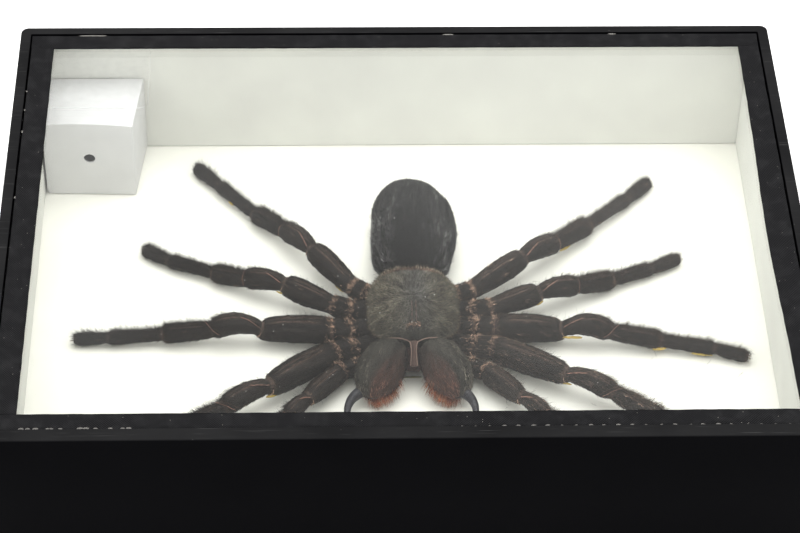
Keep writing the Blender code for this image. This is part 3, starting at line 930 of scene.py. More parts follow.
def make_cuticle(name, dark, bare, roughness=0.5):
    material, tree, shader = new_material(name, {"Specular IOR Level": 0.08})
    grain = add_node(tree, "ShaderNodeAttribute", attribute_name="grain").outputs["Vector"]
    pale = add_node(tree, "ShaderNodeAttribute", attribute_name="pale").outputs["Fac"]
    streaks = noise_value(tree, grain, 2.6, 4.0, 0.6)
    broad = noise_value(tree, grain, 0.5, 2.0)
    streaky = blend_colours(tree, remap(tree, streaks, 0.35, 0.7), colour(*dark), scaled(dark, 1.9))
    varied = blend_colours(tree, remap(tree, broad, 0.35, 0.6), scaled(dark, 0.55), streaky)
    patchy = times(tree, pale, remap(tree, streaks, 0.3, 0.55))
    base = blend_colours(tree, patchy, varied, colour(*bare))
    feed(tree, shader, {"Base Color": base, "Normal": bumps(tree, streaks, 0.12),
                        "Roughness": remap(tree, streaks, 0.3, 0.7, roughness + 0.12, roughness - 0.1)})
    return material


leg_skin = make_cuticle("leg skin", DARK_SKIN, BARE_SKIN)
shield_skin = make_cuticle("shield skin", (0.028, 0.026, 0.020), BARE_SKIN)
jaw_skin = make_cuticle("jaw skin", (0.028, 0.026, 0.0215), RED_SKIN)
abdomen_skin = make_cuticle("abdomen skin", (0.0035, 0.0034, 0.0033), (0.012, 0.0116, 0.0112), 0.7)

# %% [markdown]
# ## The legs and palps
#
# Ten limbs share one plan: hip, ring, thigh, knee, shin and foot joints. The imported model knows
# them as chains of lengths, headings and heights, and the same numbers are used here, so that
# the finer skins lie where the solids are. What the skins add is the slender neck at each joint,
# the stripes, the wrinkles and the coat.

# %% The limb tables
SIGNS = {"left": 1, "right": -1}
BODY_X = 2.9
ROOT_HEIGHT = 3.7
LIMB_ROOT = {"palp": (5.0, -14.4), "leg_1": (6.6, -10.0), "leg_2": (7.3, -5.0), "leg_3": (7.3, 0.4),
             "leg_4": (6.6, 5.5)}
LIMB_LENGTHS = {
    "palp": (10.0, 5.0, 13.2, 7.0, 8.0, 7.5),
    "leg_1": (9.6, 4.8, 21.0, 12.4, 14.0, 13.5, 9.5),
    "leg_2": (9.0, 4.6, 18.2, 12.0, 13.0, 13.8, 8.9),
    "leg_3": (8.4, 4.4, 15.5, 10.2, 10.5, 11.8, 8.3),
    "leg_4": (5.0, 4.0, 18.4, 11.0, 12.8, 16.4, 9.6),
}
OWN_LENGTHS = {  # the specimen isn't quite the same on both sides
    "leg_left_2": (9.0, 4.6, 17.7, 12.1, 13.1, 13.8, 8.9),
    "leg_left_3": (8.4, 4.4, 13.5, 10.7, 10.8, 11.8, 9.1),
    "leg_left_4": (5.0, 4.0, 17.4, 11.6, 13.1, 16.3, 9.9),
    "leg_right_3": (8.4, 4.4, 14.1, 10.8, 9.6, 13.2, 8.4),
    "leg_right_4": (5.0, 4.0, 16.2, 11.9, 11.5, 15.8, 10.5),
}
LIMB_RADII = {
    "palp": (2.3, 2.4, 2.75, 2.25, 2.0, 1.8),
    "leg_1": (2.8, 3.0, 3.6, 2.65, 2.3, 1.8, 1.55),
    "leg_2": (2.8, 3.0, 3.6, 2.75, 2.25, 1.75, 1.5),
    "leg_3": (2.8, 2.85, 3.0, 2.75, 2.35, 1.7, 1.6),
    "leg_4": (2.8, 2.8, 3.05, 2.75, 2.35, 1.58, 1.6),
}
LIMB_HEIGHTS = {
    "palp": (3.6, 4.6, 5.4, 4.6, 3.2, 2.1),
    "leg_1": (4.2, 5.2, 6.7, 5.5, 3.6, 2.6, 1.9),
    "leg_2": (4.2, 5.0, 5.5, 4.9, 3.3, 2.5, 1.9),
    "leg_3": (4.2, 5.2, 7.0, 5.0, 3.0, 2.4, 1.95),
    "leg_4": (4.2, 5.2, 7.2, 5.2, 3.3, 2.5, 1.9),
}
THIGH_NUMBER = 2
KNEE_NUMBER = 3
THIGH_SAG = 0.7  # how much of a thigh's taper is taken off its top
KNEE_ARCH = {"palp": 0.5, "leg_1": 1.1, "leg_2": 2.1, "leg_3": 0.9, "leg_4": 0.9}
FLATTENED = 0.96  # a limb's height for its width
KNEE_SLANT = {"palp": 0.08, "leg_1": 0.13, "leg_2": 0.14, "leg_3": 0.03, "leg_4": 0.04}
HEADINGS = {
    "left": {
        "palp": (-28, -29, -49, -44, -46, -50),
        "leg_1": (-15, -18, -31, -26, -33, -36, -34),
        "leg_2": (-6, -8, -3, -4, -7, -9, -17),
        "leg_3": (-3, 2, 18, 22, 24, 23, 30),
        "leg_4": (2, 15, 37, 38, 44, 44, 49),
    },
    "right": {
        "palp": (-26, -28, -50, -48, -50, -54),
        "leg_1": (-20, -24, -38, -29, -31, -34, -31),
        "leg_2": (-8, -10, 1, 1, 0, -2, 2),
        "leg_3": (4, 8, 26, 22, 27, 24, 36),
        "leg_4": (10, 28, 50, 52, 47, 50, 52),
    },
}

# %% Limb rows
# Each shape says how far along a segment, and how wide the limb is there for its own radius.
HIP = ((0.0, 0.92), (0.25, 1.0), (0.75, 1.0), (0.94, 0.94), (1.0, 0.86))
THIGH = ((0.0, 0.80), (0.04, 0.90), (0.15, 1.0), (0.45, 1.03), (0.60, 1.0), (0.75, 0.94),
         (0.88, 0.84), (0.96, 0.74), (1.0, 0.62))
REAR_THIGH = ((0.0, 0.72), (0.05, 0.78), (0.20, 0.86), (0.45, 0.98), (0.70, 1.04), (0.88, 0.98),
              (0.96, 0.86), (1.0, 0.66))
KNEE = ((0.0, 0.62), (0.05, 0.70), (0.20, 0.84), (0.45, 0.99), (0.75, 1.05), (0.90, 0.98), (1.0, 0.72))
SHIN = ((0.0, 0.72), (0.05, 0.86), (0.25, 0.98), (0.55, 1.0), (0.84, 1.06), (0.95, 0.98), (1.0, 0.70))
SHANK = ((0.0, 0.76), (0.05, 0.88), (0.20, 0.92), (0.60, 0.98), (0.88, 1.06), (0.96, 0.94), (1.0, 0.70))
FOOT = ((0.0, 0.70), (0.06, 0.86), (0.30, 0.98), (0.70, 1.06), (0.90, 0.94), (0.97, 0.66), (1.0, 0.34))
SEGMENT_SHAPES = (HIP, HIP, THIGH, KNEE, SHIN, SHANK)
RING_STEP = 0.45
LIMB_SIDES = 32
CLEAR_OF_BOARD = 0.15


def limb_rows(name, pair, side):
    """Rows down one limb, and for each its place in the chain: 2.5 is half way down the thigh."""
    sign = SIGNS[side]
    root_out, root_y = LIMB_ROOT[pair]
    joint = np.array((BODY_X + sign * root_out, root_y, BOARD + ROOT_HEIGHT))
    last = len(LIMB_LENGTHS[pair]) - 1
    rows, chain = [], []
    for number, length in enumerate(OWN_LENGTHS.get(name, LIMB_LENGTHS[pair])):
        turn = math.radians(HEADINGS[side][pair][number])
        far = joint + np.array((sign * length * math.cos(turn), length * math.sin(turn), 0.0))
        far[2] = BOARD + LIMB_HEIGHTS[pair][number]
        shape = np.array(FOOT if number == last else SEGMENT_SHAPES[number])
        if number == THIGH_NUMBER and pair in ("leg_3", "leg_4"):
            shape = np.array(REAR_THIGH)
        count = round(length / RING_STEP)
        for along in (np.arange(count) + 0.5) / count:
            radius = LIMB_RADII[pair][number] * np.interp(along, shape[:, 0], shape[:, 1])
            place = joint + (far - joint) * along
            if number == KNEE_NUMBER:
                place[2] += KNEE_ARCH[pair] * math.sin(math.pi * along)
            if number == THIGH_NUMBER and along > 0.5:
                place[2] -= THIGH_SAG * max(0.0, LIMB_RADII[pair][number] - radius)
            rows.append((*place, radius, radius * FLATTENED))
            chain.append(number + along)
        joint = far
    rows = np.array(rows)
    rows[:, :3] = rounded(rows[:, :3], 8)
    rows[:, 3:] = rounded(rows[:, 3:], 1)
    rows[:, 2] = np.maximum(rows[:, 2], BOARD + CLEAR_OF_BOARD + rows[:, 4])
    return rows, np.array(chain)


# %% The bare stripes and lines of a limb
STRIPE_TURNS = (79.0, 101.0)
STRIPE_WIDTH = 6.0
HAIR_DARK = (0.0128, 0.0102, 0.0082)
HAIR_BROWN = (0.062, 0.041, 0.030)
HAIR_TAN = (0.38, 0.255, 0.185)
HAIR_RUST = (0.11, 0.058, 0.030)
HAIR_FUZZ = (0.040, 0.028, 0.020)
LINE_PINK = (0.13, 0.088, 0.070)
LINE_PALE = (0.30, 0.17, 0.13)
LINE_WIDTH = 0.11


def bump_at(values, middle, width):
    return np.exp(-((values - middle) / width) ** 2)


def limb_masks(chain):
    """How bare each corner is: stripes along the top, and a band at each joint."""
    turn = 360.0 * np.arange(LIMB_SIDES) / LIMB_SIDES
    along = chain - np.floor(chain)
    long_segment = (chain >= 2) & (chain < 5)
    window = long_segment * np.clip((along - 0.10) * 8, 0, 1) * np.clip((0.92 - along) * 8, 0, 1)
    stripes = sum(bump_at(turn, middle, STRIPE_WIDTH) for middle in STRIPE_TURNS)
    joints = np.maximum(bump_at(along, 0.0, 0.035), bump_at(along, 1.0, 0.035)) * (chain > 0.5)
    upper = 0.35 + 0.65 * np.clip(np.sin(np.radians(turn)), 0, 1)
    return window[:, None] * stripes[None], joints[:, None] * upper[None]


def surface_at(rings, chain, at, turn):
    """Places on a limb's skin, given how far along its chain and, in degrees, how far round."""
    row = np.interp(at, chain, np.arange(len(chain)))
    column = (turn % 360.0) / 360.0 * LIMB_SIDES
    low = np.clip(row.astype(int), 0, len(chain) - 2)
    left = column.astype(int) % LIMB_SIDES
    right = (left + 1) % LIMB_SIDES
    u, v = (column % 1.0)[:, None], (row - low)[:, None]
    here = rings[low, left] * (1 - u) + rings[low, right] * u
    ahead = rings[low + 1, left] * (1 - u) + rings[low + 1, right] * u
    middle = rings.mean(axis=1)
    centre = middle[low] * (1 - v) + middle[low + 1] * v
    place = here * (1 - v) + ahead * v
    return place, unit(place - centre)


def line_hairs(rings, chain, chance, count, start, end, tint):
    """Pale hairs laid end to end: a line on the skin from one (chain, turn) to another."""
    share = chance.random(count)
    step = 0.06
    at, turn = [[start[axis] + (end[axis] - start[axis]) * (share + ahead) for ahead in (0.0, step)]
                for axis in (0, 1)]
    scatter = chance.normal(0, 1.6, count)
    near, outward = surface_at(rings, chain, at[0], turn[0] + scatter)
    far, _ = surface_at(rings, chain, at[1], turn[1] + scatter)
    lean = unit(far - near) + outward * 0.08 + chance.normal(0, 0.08, (count, 3))
    roots = near + outward * chance.uniform(0.10, 0.26, (count, 1))
    return roots, lean, chance.uniform(0.5, 0.9, count), 0.0, LINE_WIDTH, tinted(chance, count, tint)


def limb_lines(rings, chain, side, slant, chance):
    """The bare lines: along the top of the long segments, and slanted ones round the knee."""
    lines = (  # from chain and turn, to chain and turn, hairs, colour
        (2.20, 80, 2.74, 78, 60, LINE_PINK), (2.16, 103, 2.70, 101, 40, HAIR_BROWN),
        (4.16, 80, 4.80, 78, 34, LINE_PINK), (4.20, 103, 4.70, 101, 24, HAIR_BROWN),
        (3.06, 50, 3.40, 82, 60, LINE_PALE), (3.36, 82, 3.80, 80, 34, LINE_PINK),
        (4.0 + slant, 118, 4.0 - slant, 5, 90, LINE_PALE),
        (3.92 + slant, 120, 3.92 - slant, 5, 60, HAIR_BROWN),
        (5.0, 130, 4.98, -5, 50, LINE_PINK), (2.02, 130, 2.02, 10, 50, LINE_PINK),
        (3.0, 20, 3.01, -36, 46, HAIR_TAN))
    batches = []
    for at, turn, end, end_turn, count, tint in lines:
        if side == "right":
            turn, end_turn = 180.0 - turn, 180.0 - end_turn
        batches.append(line_hairs(rings, chain, chance, count, (at, turn), (end, end_turn), tint))
    return batches


# %% The coat of a limb
COAT_HAIRS = 85  # to each millimetre of a limb
BRISTLE_HAIRS = 16
FUZZ = ((26, 0.7, 1.6, 0.045), (9, 1.6, 3.0, 0.055))  # hairs to a millimetre, lengths, width
TUFT_HAIRS = 560  # to each limb
CREST = {"left": 125.0, "right": 55.0}  # degrees round to the edge that is uppermost in the picture
SIDE_SHADE = {"left": 0.85, "right": 0.45}  # the coat on the right limbs is darker
# the left palp and the first left leg are painted brighter: a painted reflection that stands in for the
# pane's haze over them
OWN_SHADE_AND_PAINTED_HAZE = {"palp_left": 2.0, "leg_left_1": 1.9, "palp_right": 0.7}


def short_coat(rings, chain, shade, bare, chance, seed):
    """The coat lies back along the limb. It is thin where the skin is bare, and rough towards the foot."""
    streaks = lengthwise_noise(rings, 0.24, 3.2, seed) + 0.8 * lengthwise_noise(rings, 0.5, 6.0, seed)
    weight = (1.0 - 0.6 * np.clip(bare, 0, 1)) * np.clip(1.0 + streaks, 0.2, 2.0)
    count = int(len(chain) * RING_STEP * COAT_HAIRS)
    roots, outward, along, rows, columns = plant(rings, chance, count, weight)
    rough = np.clip((chain[rows] - 3.5) / 2, 0.0, 0.6)[:, None]
    lean = (along + outward * chance.uniform(0.04, 0.26, (count, 1)) * (1 + 3 * rough)
            + chance.normal(0, 0.10, (count, 3)))
    tints = tinted(chance, count, HAIR_DARK, 0.35, HAIR_BROWN, 0.16)
    tints = tints * np.exp(2.4 * streaks[rows, columns])[:, None] * shade
    # the ends of the shins and the tips of the feet are rusty
    shin_end = bump_at(chain[rows], 4.93, 0.07)
    foot_end = np.clip((chain[rows] - np.floor(chain[-1]) - 0.80) * 5, 0, 0.8)
    rust = 0.75 * np.maximum(shin_end, foot_end)[:, None]
    rusty = np.array(HAIR_RUST) * np.exp(chance.normal(0, 0.5, (count, 1)))
    tints = tints * (1 - rust) + rusty * rust
    return roots, lean, chance.uniform(0.6, 1.4, count), 0.0, HAIR_WIDTH, tints


def bristles(rings, chain, shade, chance):
    """Longer hairs that stand along the top and bend back."""
    top = np.clip(np.sin(ring_turns(LIMB_SIDES)) + 0.35, 0, 1)[None]
    count = int(len(chain) * RING_STEP * BRISTLE_HAIRS)
    weight = top * np.clip((chain - 3.4) * 2, 0.08, 1)[:, None]
    roots, outward, along, _, _ = plant(rings, chance, count, weight)
    lean = outward * 0.9 + along * chance.uniform(0.2, 1.3, (count, 1)) + chance.normal(0, 0.15, (count, 3))
    return (roots, lean, chance.uniform(0.7, 1.7, count), along * 0.35, 0.06,
            tinted(chance, count, HAIR_DARK, 0.5, HAIR_BROWN, 0.4) * shade)


def crest_fuzz(rings, chain, side, shade, chance):
    """A fine upright fuzz along the edge that is uppermost in the picture."""
    turn = ring_turns(LIMB_SIDES) - math.radians(CREST[side])
    weight = np.clip(np.cos(turn), 0, 1)[None] ** 2 * np.clip((chain - 3.6) * 1.5, 0.04, 1)[:, None]
    for share, low, high, width in FUZZ:
        count = int(len(chain) * RING_STEP * share)
        roots, outward, along, _, _ = plant(rings, chance, count, weight)
        lean = outward + along * chance.uniform(0.1, 0.9, (count, 1)) + chance.normal(0, 0.16, (count, 3))
        yield (roots, lean, chance.uniform(low, high, count), 0.0, width,
               tinted(chance, count, HAIR_FUZZ, 0.5) * shade)


def joint_tufts(rings, chain, chance):
    """Tan tufts on top of the first two joints."""
    joints = np.maximum(bump_at(chain, 1.0, 0.16), bump_at(chain, 1.93, 0.08))[:, None]
    weight = joints * (0.1 + np.clip(np.sin(ring_turns(LIMB_SIDES)), 0, 1)[None])
    weight = weight * np.clip(0.6 + 4.0 * noise_at(rings * 1.1), 0.01, 3.0)
    count = TUFT_HAIRS
    roots, outward, along, _, _ = plant(rings, chance, count, weight)
    lean = outward * 0.7 + along * chance.uniform(0.0, 1.2, (count, 1)) + chance.normal(0, 0.3, (count, 3))
    return (roots, lean, chance.uniform(0.6, 1.2, count), 0.0, HAIR_WIDTH,
            tinted(chance, count, HAIR_TAN, 0.6, HAIR_BROWN, 0.25))


def limb_coats(name, rings, chain, side, bare, chance, seed):
    shade = OWN_SHADE_AND_PAINTED_HAZE.get(name, SIDE_SHADE[side])
    return [short_coat(rings, chain, shade, bare, chance, seed), bristles(rings, chain, shade, chance),
            *crest_fuzz(rings, chain, side, shade, chance), joint_tufts(rings, chain, chance)]


# %% The ten limbs
limb_tips, limb_grids = {}, {}
for side in SIGNS:
    for number, pair in enumerate(LIMB_ROOT):
        name = "palp_" + side if pair == "palp" else "leg_" + side + pair[3:]
        chance = np.random.default_rng(100 + 10 * number + (side == "left"))
        rows, chain = limb_rows(name, pair, side)
        stripes, joints = limb_masks(chain)
        seed = 7.0 * number + (side == "left") * 3.3
        rings = wrinkled(path_rings(rows, LIMB_SIDES), 0.30, seed)
        rings = pushed(rings, 0.14 * noise_at(rings * 0.8))
        rings = pushed(rings, -0.14 * stripes - 0.10 * joints)
        rings[..., 2] = np.maximum(rings[..., 2], BOARD + 0.04)
        piece = add_piece(name + "_skin", skin(rings), leg_skin, (name,))
        keep_values(piece, "grain", grain_places(rings))
        keep_values(piece, "pale", (stripes * 0.3 + joints * 0.6).ravel())
        batches = limb_coats(name, rings, chain, side, stripes + joints, chance, seed)
        batches += limb_lines(rings, chain, side, KNEE_SLANT[pair], chance)
        add_hair(name + "_hair", batches)
        limb_grids[name] = rings, chain
        limb_tips[name] = rows[-1, :3], unit(rows[-1, :3] - rows[-8, :3])
print(len(limb_tips), "limbs")

# %% [markdown]
# ## The abdomen
#
# The rear of the body is a bag that dried and sagged: fine folds run lengthwise, deeper ones
# mark the lower flanks, and a velvet of short hair covers all of it. The flanks are painted paler
# than the top, a painted light, and painted shade darkens a patch near the front and the deeper
# folds. The imported solid already has its outline, so it is measured: cut across at many places,
# each cut gives the middle and half sizes of one ring.

# %% Measure the imported abdomen
def solid_edges(node):
    """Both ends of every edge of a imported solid, in millimetres."""
    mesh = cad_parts[node].data
    places = np.empty(len(mesh.vertices) * 3)
    mesh.vertices.foreach_get("co", places)
    ends = np.empty(len(mesh.edges) * 2, dtype=np.int64)
    mesh.edges.foreach_get("vertices", ends)
    return (places.reshape(-1, 3) / MM)[ends.reshape(-1, 2)]


def slices(node, count):
    """Cuts a solid across Y, closer together near its ends: x, y, z, half width, half height."""
    ends = solid_edges(node)
    low, high = ends[..., 1].min(), ends[..., 1].max()
    cuts = []
    for share in (1 - np.cos(np.pi * (np.arange(count) + 0.5) / count)) / 2:
        gap = ends[..., 1] - (low + (high - low) * share)
        crossing = gap[:, 0] * gap[:, 1] < 0
        part = (gap[crossing, 0] / (gap[crossing, 0] - gap[crossing, 1]))[:, None]
        hits = ends[crossing, 0] + (ends[crossing, 1] - ends[crossing, 0]) * part
        middle, half = (hits.max(0) + hits.min(0)) / 2, (hits.max(0) - hits.min(0)) / 2
        cuts.append((*middle, half[0], half[2]))
    return np.array(cuts)


abdomen_rows = rounded(slices("abdomen", 110), 3)
print("the abdomen is", round(2 * abdomen_rows[:, 3].max(), 1), "mm wide")

# %% The abdomen's skin
ABDOMEN_SIDES = 72
FOLDS = (  # degrees round, depth, width in degrees, place along, spread along
    (175, 0.9, 7, 0.20, 0.09), (196, -0.6, 14, 0.18, 0.10), (153, 0.5, 6, 0.11, 0.05),
    (2, 0.6, 8, 0.25, 0.06), (-16, -0.4, 14, 0.12, 0.08), (20, 0.3, 6, 0.40, 0.20),
    (150, 0.2, 8, 0.50, 0.20), (34, 0.2, 7, 0.52, 0.20), (180, 0.5, 30, 0.50, 0.20),
    (160, 1.3, 7, 0.24, 0.09), (20, 0.8, 6, 0.28, 0.08))
REAR_START = 0.72  # as a share of the abdomen's length
REAR_LEAN = 1.0
REAR_SLIM = 0.16


def share_back(y):
    """How far back a place is: 0 at the abdomen's front end, 1 at its rear."""
    front, rear = abdomen_rows[0, 1], abdomen_rows[-1, 1]
    return (y - front) / (rear - front)


def fold_at(share, degrees, middle, width, place, spread):
    """How deep inside one lengthwise fold a place is, from 0 to 1."""
    apart = (degrees - middle + 180) % 360 - 180
    return bump_at(share, place, spread) * bump_at(apart, 0.0, width)


def level_rings(rows, sides):
    """Rings that all stand upright, so that a blunt end doesn't fold over itself."""
    turn = ring_turns(sides)
    rings = np.repeat(rows[:, None, :3], sides, axis=1)
    rings[..., 0] += rows[:, 3:4] * np.cos(turn)[None]
    rings[..., 2] += rows[:, 4:5] * np.sin(turn)[None]
    return rings


def abdomen_rings():
    along = share_back(abdomen_rows[:, 1])
    # the rear end leans to the animal's right and is a little slimmer there than the solid
    rear = np.clip((along - REAR_START) / (1 - REAR_START), 0, 1)
    rows = abdomen_rows.copy()
    rows[:, 0] -= REAR_LEAN * rear
    rows[:, 3] *= 1 - REAR_SLIM * rear
    rings = level_rings(rows, ABDOMEN_SIDES)
    body = np.clip((along - 0.15) * 8, 0, 1) * np.clip((0.98 - along) * 10, 0, 1)
    fine = lengthwise_noise(rings, 0.05, 8.0, 3.0)
    broad = lengthwise_noise(rings, 0.09, 2.2, 9.0)
    rings = pushed(rings, body[:, None] * (0.24 * fine + 0.45 * broad))
    degrees = np.degrees(ring_turns(ABDOMEN_SIDES))[None]
    for middle, depth, width, place, spread in FOLDS:
        rings = pushed(rings, -depth * fold_at(along[:, None], degrees, middle, width, place, spread))
    rings[..., 2] = np.maximum(rings[..., 2], BOARD + 0.1)
    return rings


abdomen_grid = abdomen_rings()
abdomen = add_piece("abdomen_skin", skin(abdomen_grid), abdomen_skin, ("abdomen",))
keep_values(abdomen, "grain", grain_places(abdomen_grid))
keep_values(abdomen, "pale", np.full(len(abdomen.data.vertices), 0.25))
print("the abdomen's skin has", len(abdomen.data.polygons), "faces")

# %% The abdomen's coat
VELVET_HAIRS = 26000
LONGER_HAIRS = 900
ABDOMEN_HAIR = (0.0225, 0.0223, 0.0220)
FLANK_PAINTED_LIGHT = {"left": 1.5, "right": 3.6}  # how much paler the drooping flanks are painted than the top: painted light
PAINTED_SHADE_PLACE = (2.2, 16.0)  # the middle of the painted shade near the abdomen's front
PAINTED_SHADE_SPREAD = (6.3, 11.0)


def velvet_tone_and_painted_light(roots, rows, columns):
    """How light each hair of the velvet is: streaked, with painted light on the flanks, and painted shade
    near the front and in the deeper folds.
    """
    streaks = (0.7 * lengthwise_noise(abdomen_grid, 0.10, 5.0, 15.0) + 0.8 * noise_at(abdomen_grid * 0.25)
               + 1.3 * lengthwise_noise(abdomen_grid, 0.45, 15.0, 19.0))
    tone = 1.60 * np.exp(streaks[rows, columns])
    across, back = roots[:, 0], roots[:, 1]
    # painted light: the drooping flanks are paler, most on the animal's right
    flank_light = np.clip(np.abs(across - BODY_X) / 10.5, 0, 1) ** 2 * np.clip((31.0 - back) / 8.0, 0, 1)
    tone *= 1 + np.where(across < BODY_X, FLANK_PAINTED_LIGHT["right"], FLANK_PAINTED_LIGHT["left"]) * flank_light
    # painted shade: a dark patch near the abdomen's front
    tone *= 1 - (0.95 * bump_at(across, PAINTED_SHADE_PLACE[0], PAINTED_SHADE_SPREAD[0])
                 * bump_at(back, PAINTED_SHADE_PLACE[1], PAINTED_SHADE_SPREAD[1]))
    degrees = 360.0 * columns / ABDOMEN_SIDES
    # painted shade: the hair in the deeper folds is darker
    for middle, depth, width, place, spread in FOLDS:
        if depth > 0.5:
            tone *= 1 - 0.9 * fold_at(share_back(back), degrees, middle, width, place, spread)
    return tone


def abdomen_coat():
    chance = np.random.default_rng(51)
    count = VELVET_HAIRS
    roots, outward, along, rows, columns = plant(abdomen_grid, chance, count)
    lean = along + outward * chance.uniform(0.15, 0.55, (count, 1)) + chance.normal(0, 0.10, (count, 3))
    lengths = chance.uniform(0.6, 1.3, count)
    tints = tinted(chance, count, ABDOMEN_HAIR, 0.4, (0.05, 0.048, 0.045), 0.08)
    tints = tints * velvet_tone_and_painted_light(roots, rows, columns)[:, None]
    velvet = (roots, lean, lengths, 0.0, HAIR_WIDTH, tints)
    count = LONGER_HAIRS
    roots, outward, along, _, _ = plant(abdomen_grid, chance, count)
    lean = along * 0.8 + outward * chance.uniform(0.4, 0.9, (count, 1)) + chance.normal(0, 0.12, (count, 3))
    longer = (roots, lean, chance.uniform(1.2, 2.2, count), along * 0.3, 0.07,
              tinted(chance, count, ABDOMEN_HAIR, 0.4, (0.09, 0.075, 0.062), 0.15))
    return [velvet, longer]


add_hair("abdomen_hair", abdomen_coat())

# %% [markdown]
# ## The shield
#
# The front body is roofed by one hard plate, domed and squarish, with a low mound for the eyes.
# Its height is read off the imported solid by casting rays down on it, along rings that shrink
# from the plate's edge to its middle. A few rounds of smoothing take away the solid's facets.
# Shallow furrows then run out from the middle, as on the real plate. Its coat is grey along the
# middle and olive on the sides, with a reddish collar and a fringe of paler hair at the rear.

# %% The shield's rings
SHIELD_MIDDLE = (3.1, -1.7)
SHIELD_HALF = (11.5, 13.5)
SQUARENESS_FRONT = 3.9
SQUARENESS_REAR = 2.5
SHIELD_SIDES = 120
SHIELD_RINGS = 46
RIM_DROP = 0.55  # the plate's edge is this thick, and turns in below
RIM_TURNS_IN = 0.93
UNDERSIDE = ((0.9, 3.2, 6.6), (1.5, 4.6, 8.4), (5.2, 5.2, 9.0), (6.4, 5.6, 9.6))
UNDERSIDE_SHIFT = -1.3  # towards the jaws
FURROWS = (-62, -30, -6, 20, 48, 132, 160, 186, 210, 242)
PIT = (3.1, -2.6)
HIGH_ABOVE = 60.0


def squarish():
    turn = ring_turns(SHIELD_SIDES)
    press = 2.0 / np.where(turn > np.pi, SQUARENESS_FRONT, SQUARENESS_REAR)
    return (np.sign(np.cos(turn)) * np.abs(np.cos(turn)) ** press,
            np.sign(np.sin(turn)) * np.abs(np.sin(turn)) ** press)


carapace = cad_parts["carapace"].data
carapace_tree = BVHTree.FromPolygons([vertex.co / MM for vertex in carapace.vertices],
                                     [face.vertices for face in carapace.polygons])


def on_carapace(x, y):
    """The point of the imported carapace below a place, or None beside it."""
    return carapace_tree.ray_cast(Vector((x, y, HIGH_ABOVE)), Vector((0, 0, -1)))[0]


def shield_rings():
    across, along = squarish()
    shares = np.sin(np.linspace(np.pi / 2, 0.03, SHIELD_RINGS))
    rings = np.empty((SHIELD_RINGS, SHIELD_SIDES, 3))
    rings[..., 0] = SHIELD_MIDDLE[0] + SHIELD_HALF[0] * shares[:, None] * across[None]
    rings[..., 1] = SHIELD_MIDDLE[1] + SHIELD_HALF[1] * shares[:, None] * along[None]
    for ring in rings:
        for place in ring:
            hit, share = None, 0.992
            while hit is None:  # the corners reach a little past the solid's
                hit = on_carapace(*((place[:2] - SHIELD_MIDDLE) * share + SHIELD_MIDDLE))
                share -= 0.02
            place[2] = hit.z
    height = rings[..., 2]
    for _ in range(5):
        height[1:-1] = (height[:-2] + 2 * height[1:-1] + height[2:]) / 4
        height[:] = (np.roll(height, 1, 1) + 2 * height + np.roll(height, -1, 1)) / 4
    return rings, shares


def furrowed(rings, shares):
    flat = rings[..., :2] - np.array(PIT)
    turn = np.degrees(np.arctan2(flat[..., 1], flat[..., 0]))
    reach = np.linalg.norm(flat, axis=-1)
    from_edge = (1.02 - shares)[:, None]
    depth = np.zeros(reach.shape)
    for heading in FURROWS:
        gap = (turn - heading + 180) % 360 - 180
        furrow = 0.22 * bump_at(gap, 0.0, 5.0)
        depth += furrow * np.clip((reach - 1.5) / 4, 0, 1) * np.clip(from_edge * 4, 0, 1)
    depth += 0.45 * np.exp(-(flat[..., 0] / 0.9) ** 2 - (flat[..., 1] / 0.5) ** 2)
    rough = noise_at(rings * 0.45) * 0.16 + noise_at(rings * 1.4) * 0.06
    rings[..., 2] += rough * np.clip(from_edge * 6, 0.2, 1) - depth
    return rings


def underside_rings():
    across, along = squarish()
    return np.array([np.stack([SHIELD_MIDDLE[0] + wide * across,
                               SHIELD_MIDDLE[1] + UNDERSIDE_SHIFT + long * along,
                               np.full(SHIELD_SIDES, BOARD + height)], axis=1)
                     for height, wide, long in UNDERSIDE])


upper, upper_shares = shield_rings()
upper = furrowed(upper, upper_shares)
lower = underside_rings()
edge = upper[0] - UP * RIM_DROP
inner_edge = edge.copy()
inner_edge[:, :2] = (edge[:, :2] - SHIELD_MIDDLE) * RIM_TURNS_IN + SHIELD_MIDDLE
shield_grid = np.concatenate([lower, inner_edge[None], edge[None], upper])
shield = add_piece("shield_skin", skin(shield_grid), shield_skin, ("carapace",))
pale = np.zeros(shield_grid.shape[:2])
pale[len(lower) + 1:len(lower) + 3] = 0.15  # the rim
keep_values(shield, "pale", pale.ravel())
from_pit = (shield_grid - np.array((*PIT, 0.0))).reshape(-1, 3)
keep_values(shield, "grain", from_pit * np.array((0.8, 0.5, 0.8)))
print("the shield has", len(shield.data.polygons), "faces")

# %% The shield's coat and fringes
SHIELD_HAIRS = 15000
FRINGE_HAIRS = 1500
REAR_SHARE = 500  # so many hairs of the fringe stand at the rear
REAR_HAIRS = 420
REAR_TURN = 0.25  # where the rear is, as a share of a full turn
SHIELD_HAIR = (0.150, 0.134, 0.104)
SHIELD_GREY = (0.132, 0.126, 0.118)
COLLAR_HAIR = (0.135, 0.076, 0.056)
COLLAR_Y = 8.2


def shield_tone(roots, away):
    """How light each hair is: streaked outwards from the pit, patchy, and barer near the eyes."""
    rays = noise_at(np.concatenate([away[:, :2] * 4.5, roots[:, 1:2] * 0.12], axis=1))
    patches = noise_at(roots * 0.35)
    bare = np.clip((-13.4 - roots[:, 1]) * 1.5, 0, 1) * bump_at(roots[:, 0], SHIELD_MIDDLE[0], 5.0)
    tone = np.exp(0.7 * rays + 0.5 * patches + 0.5 * noise_at(roots * 1.1)) * (1 - 0.6 * bare)
    left = np.clip((roots[:, 0] - 4.0) / 5.0, 0, 1)
    right = np.clip((2.0 - roots[:, 0]) / 5.0, 0, 1)
    return tone * (1 - 0.16 * left + 0.10 * right)


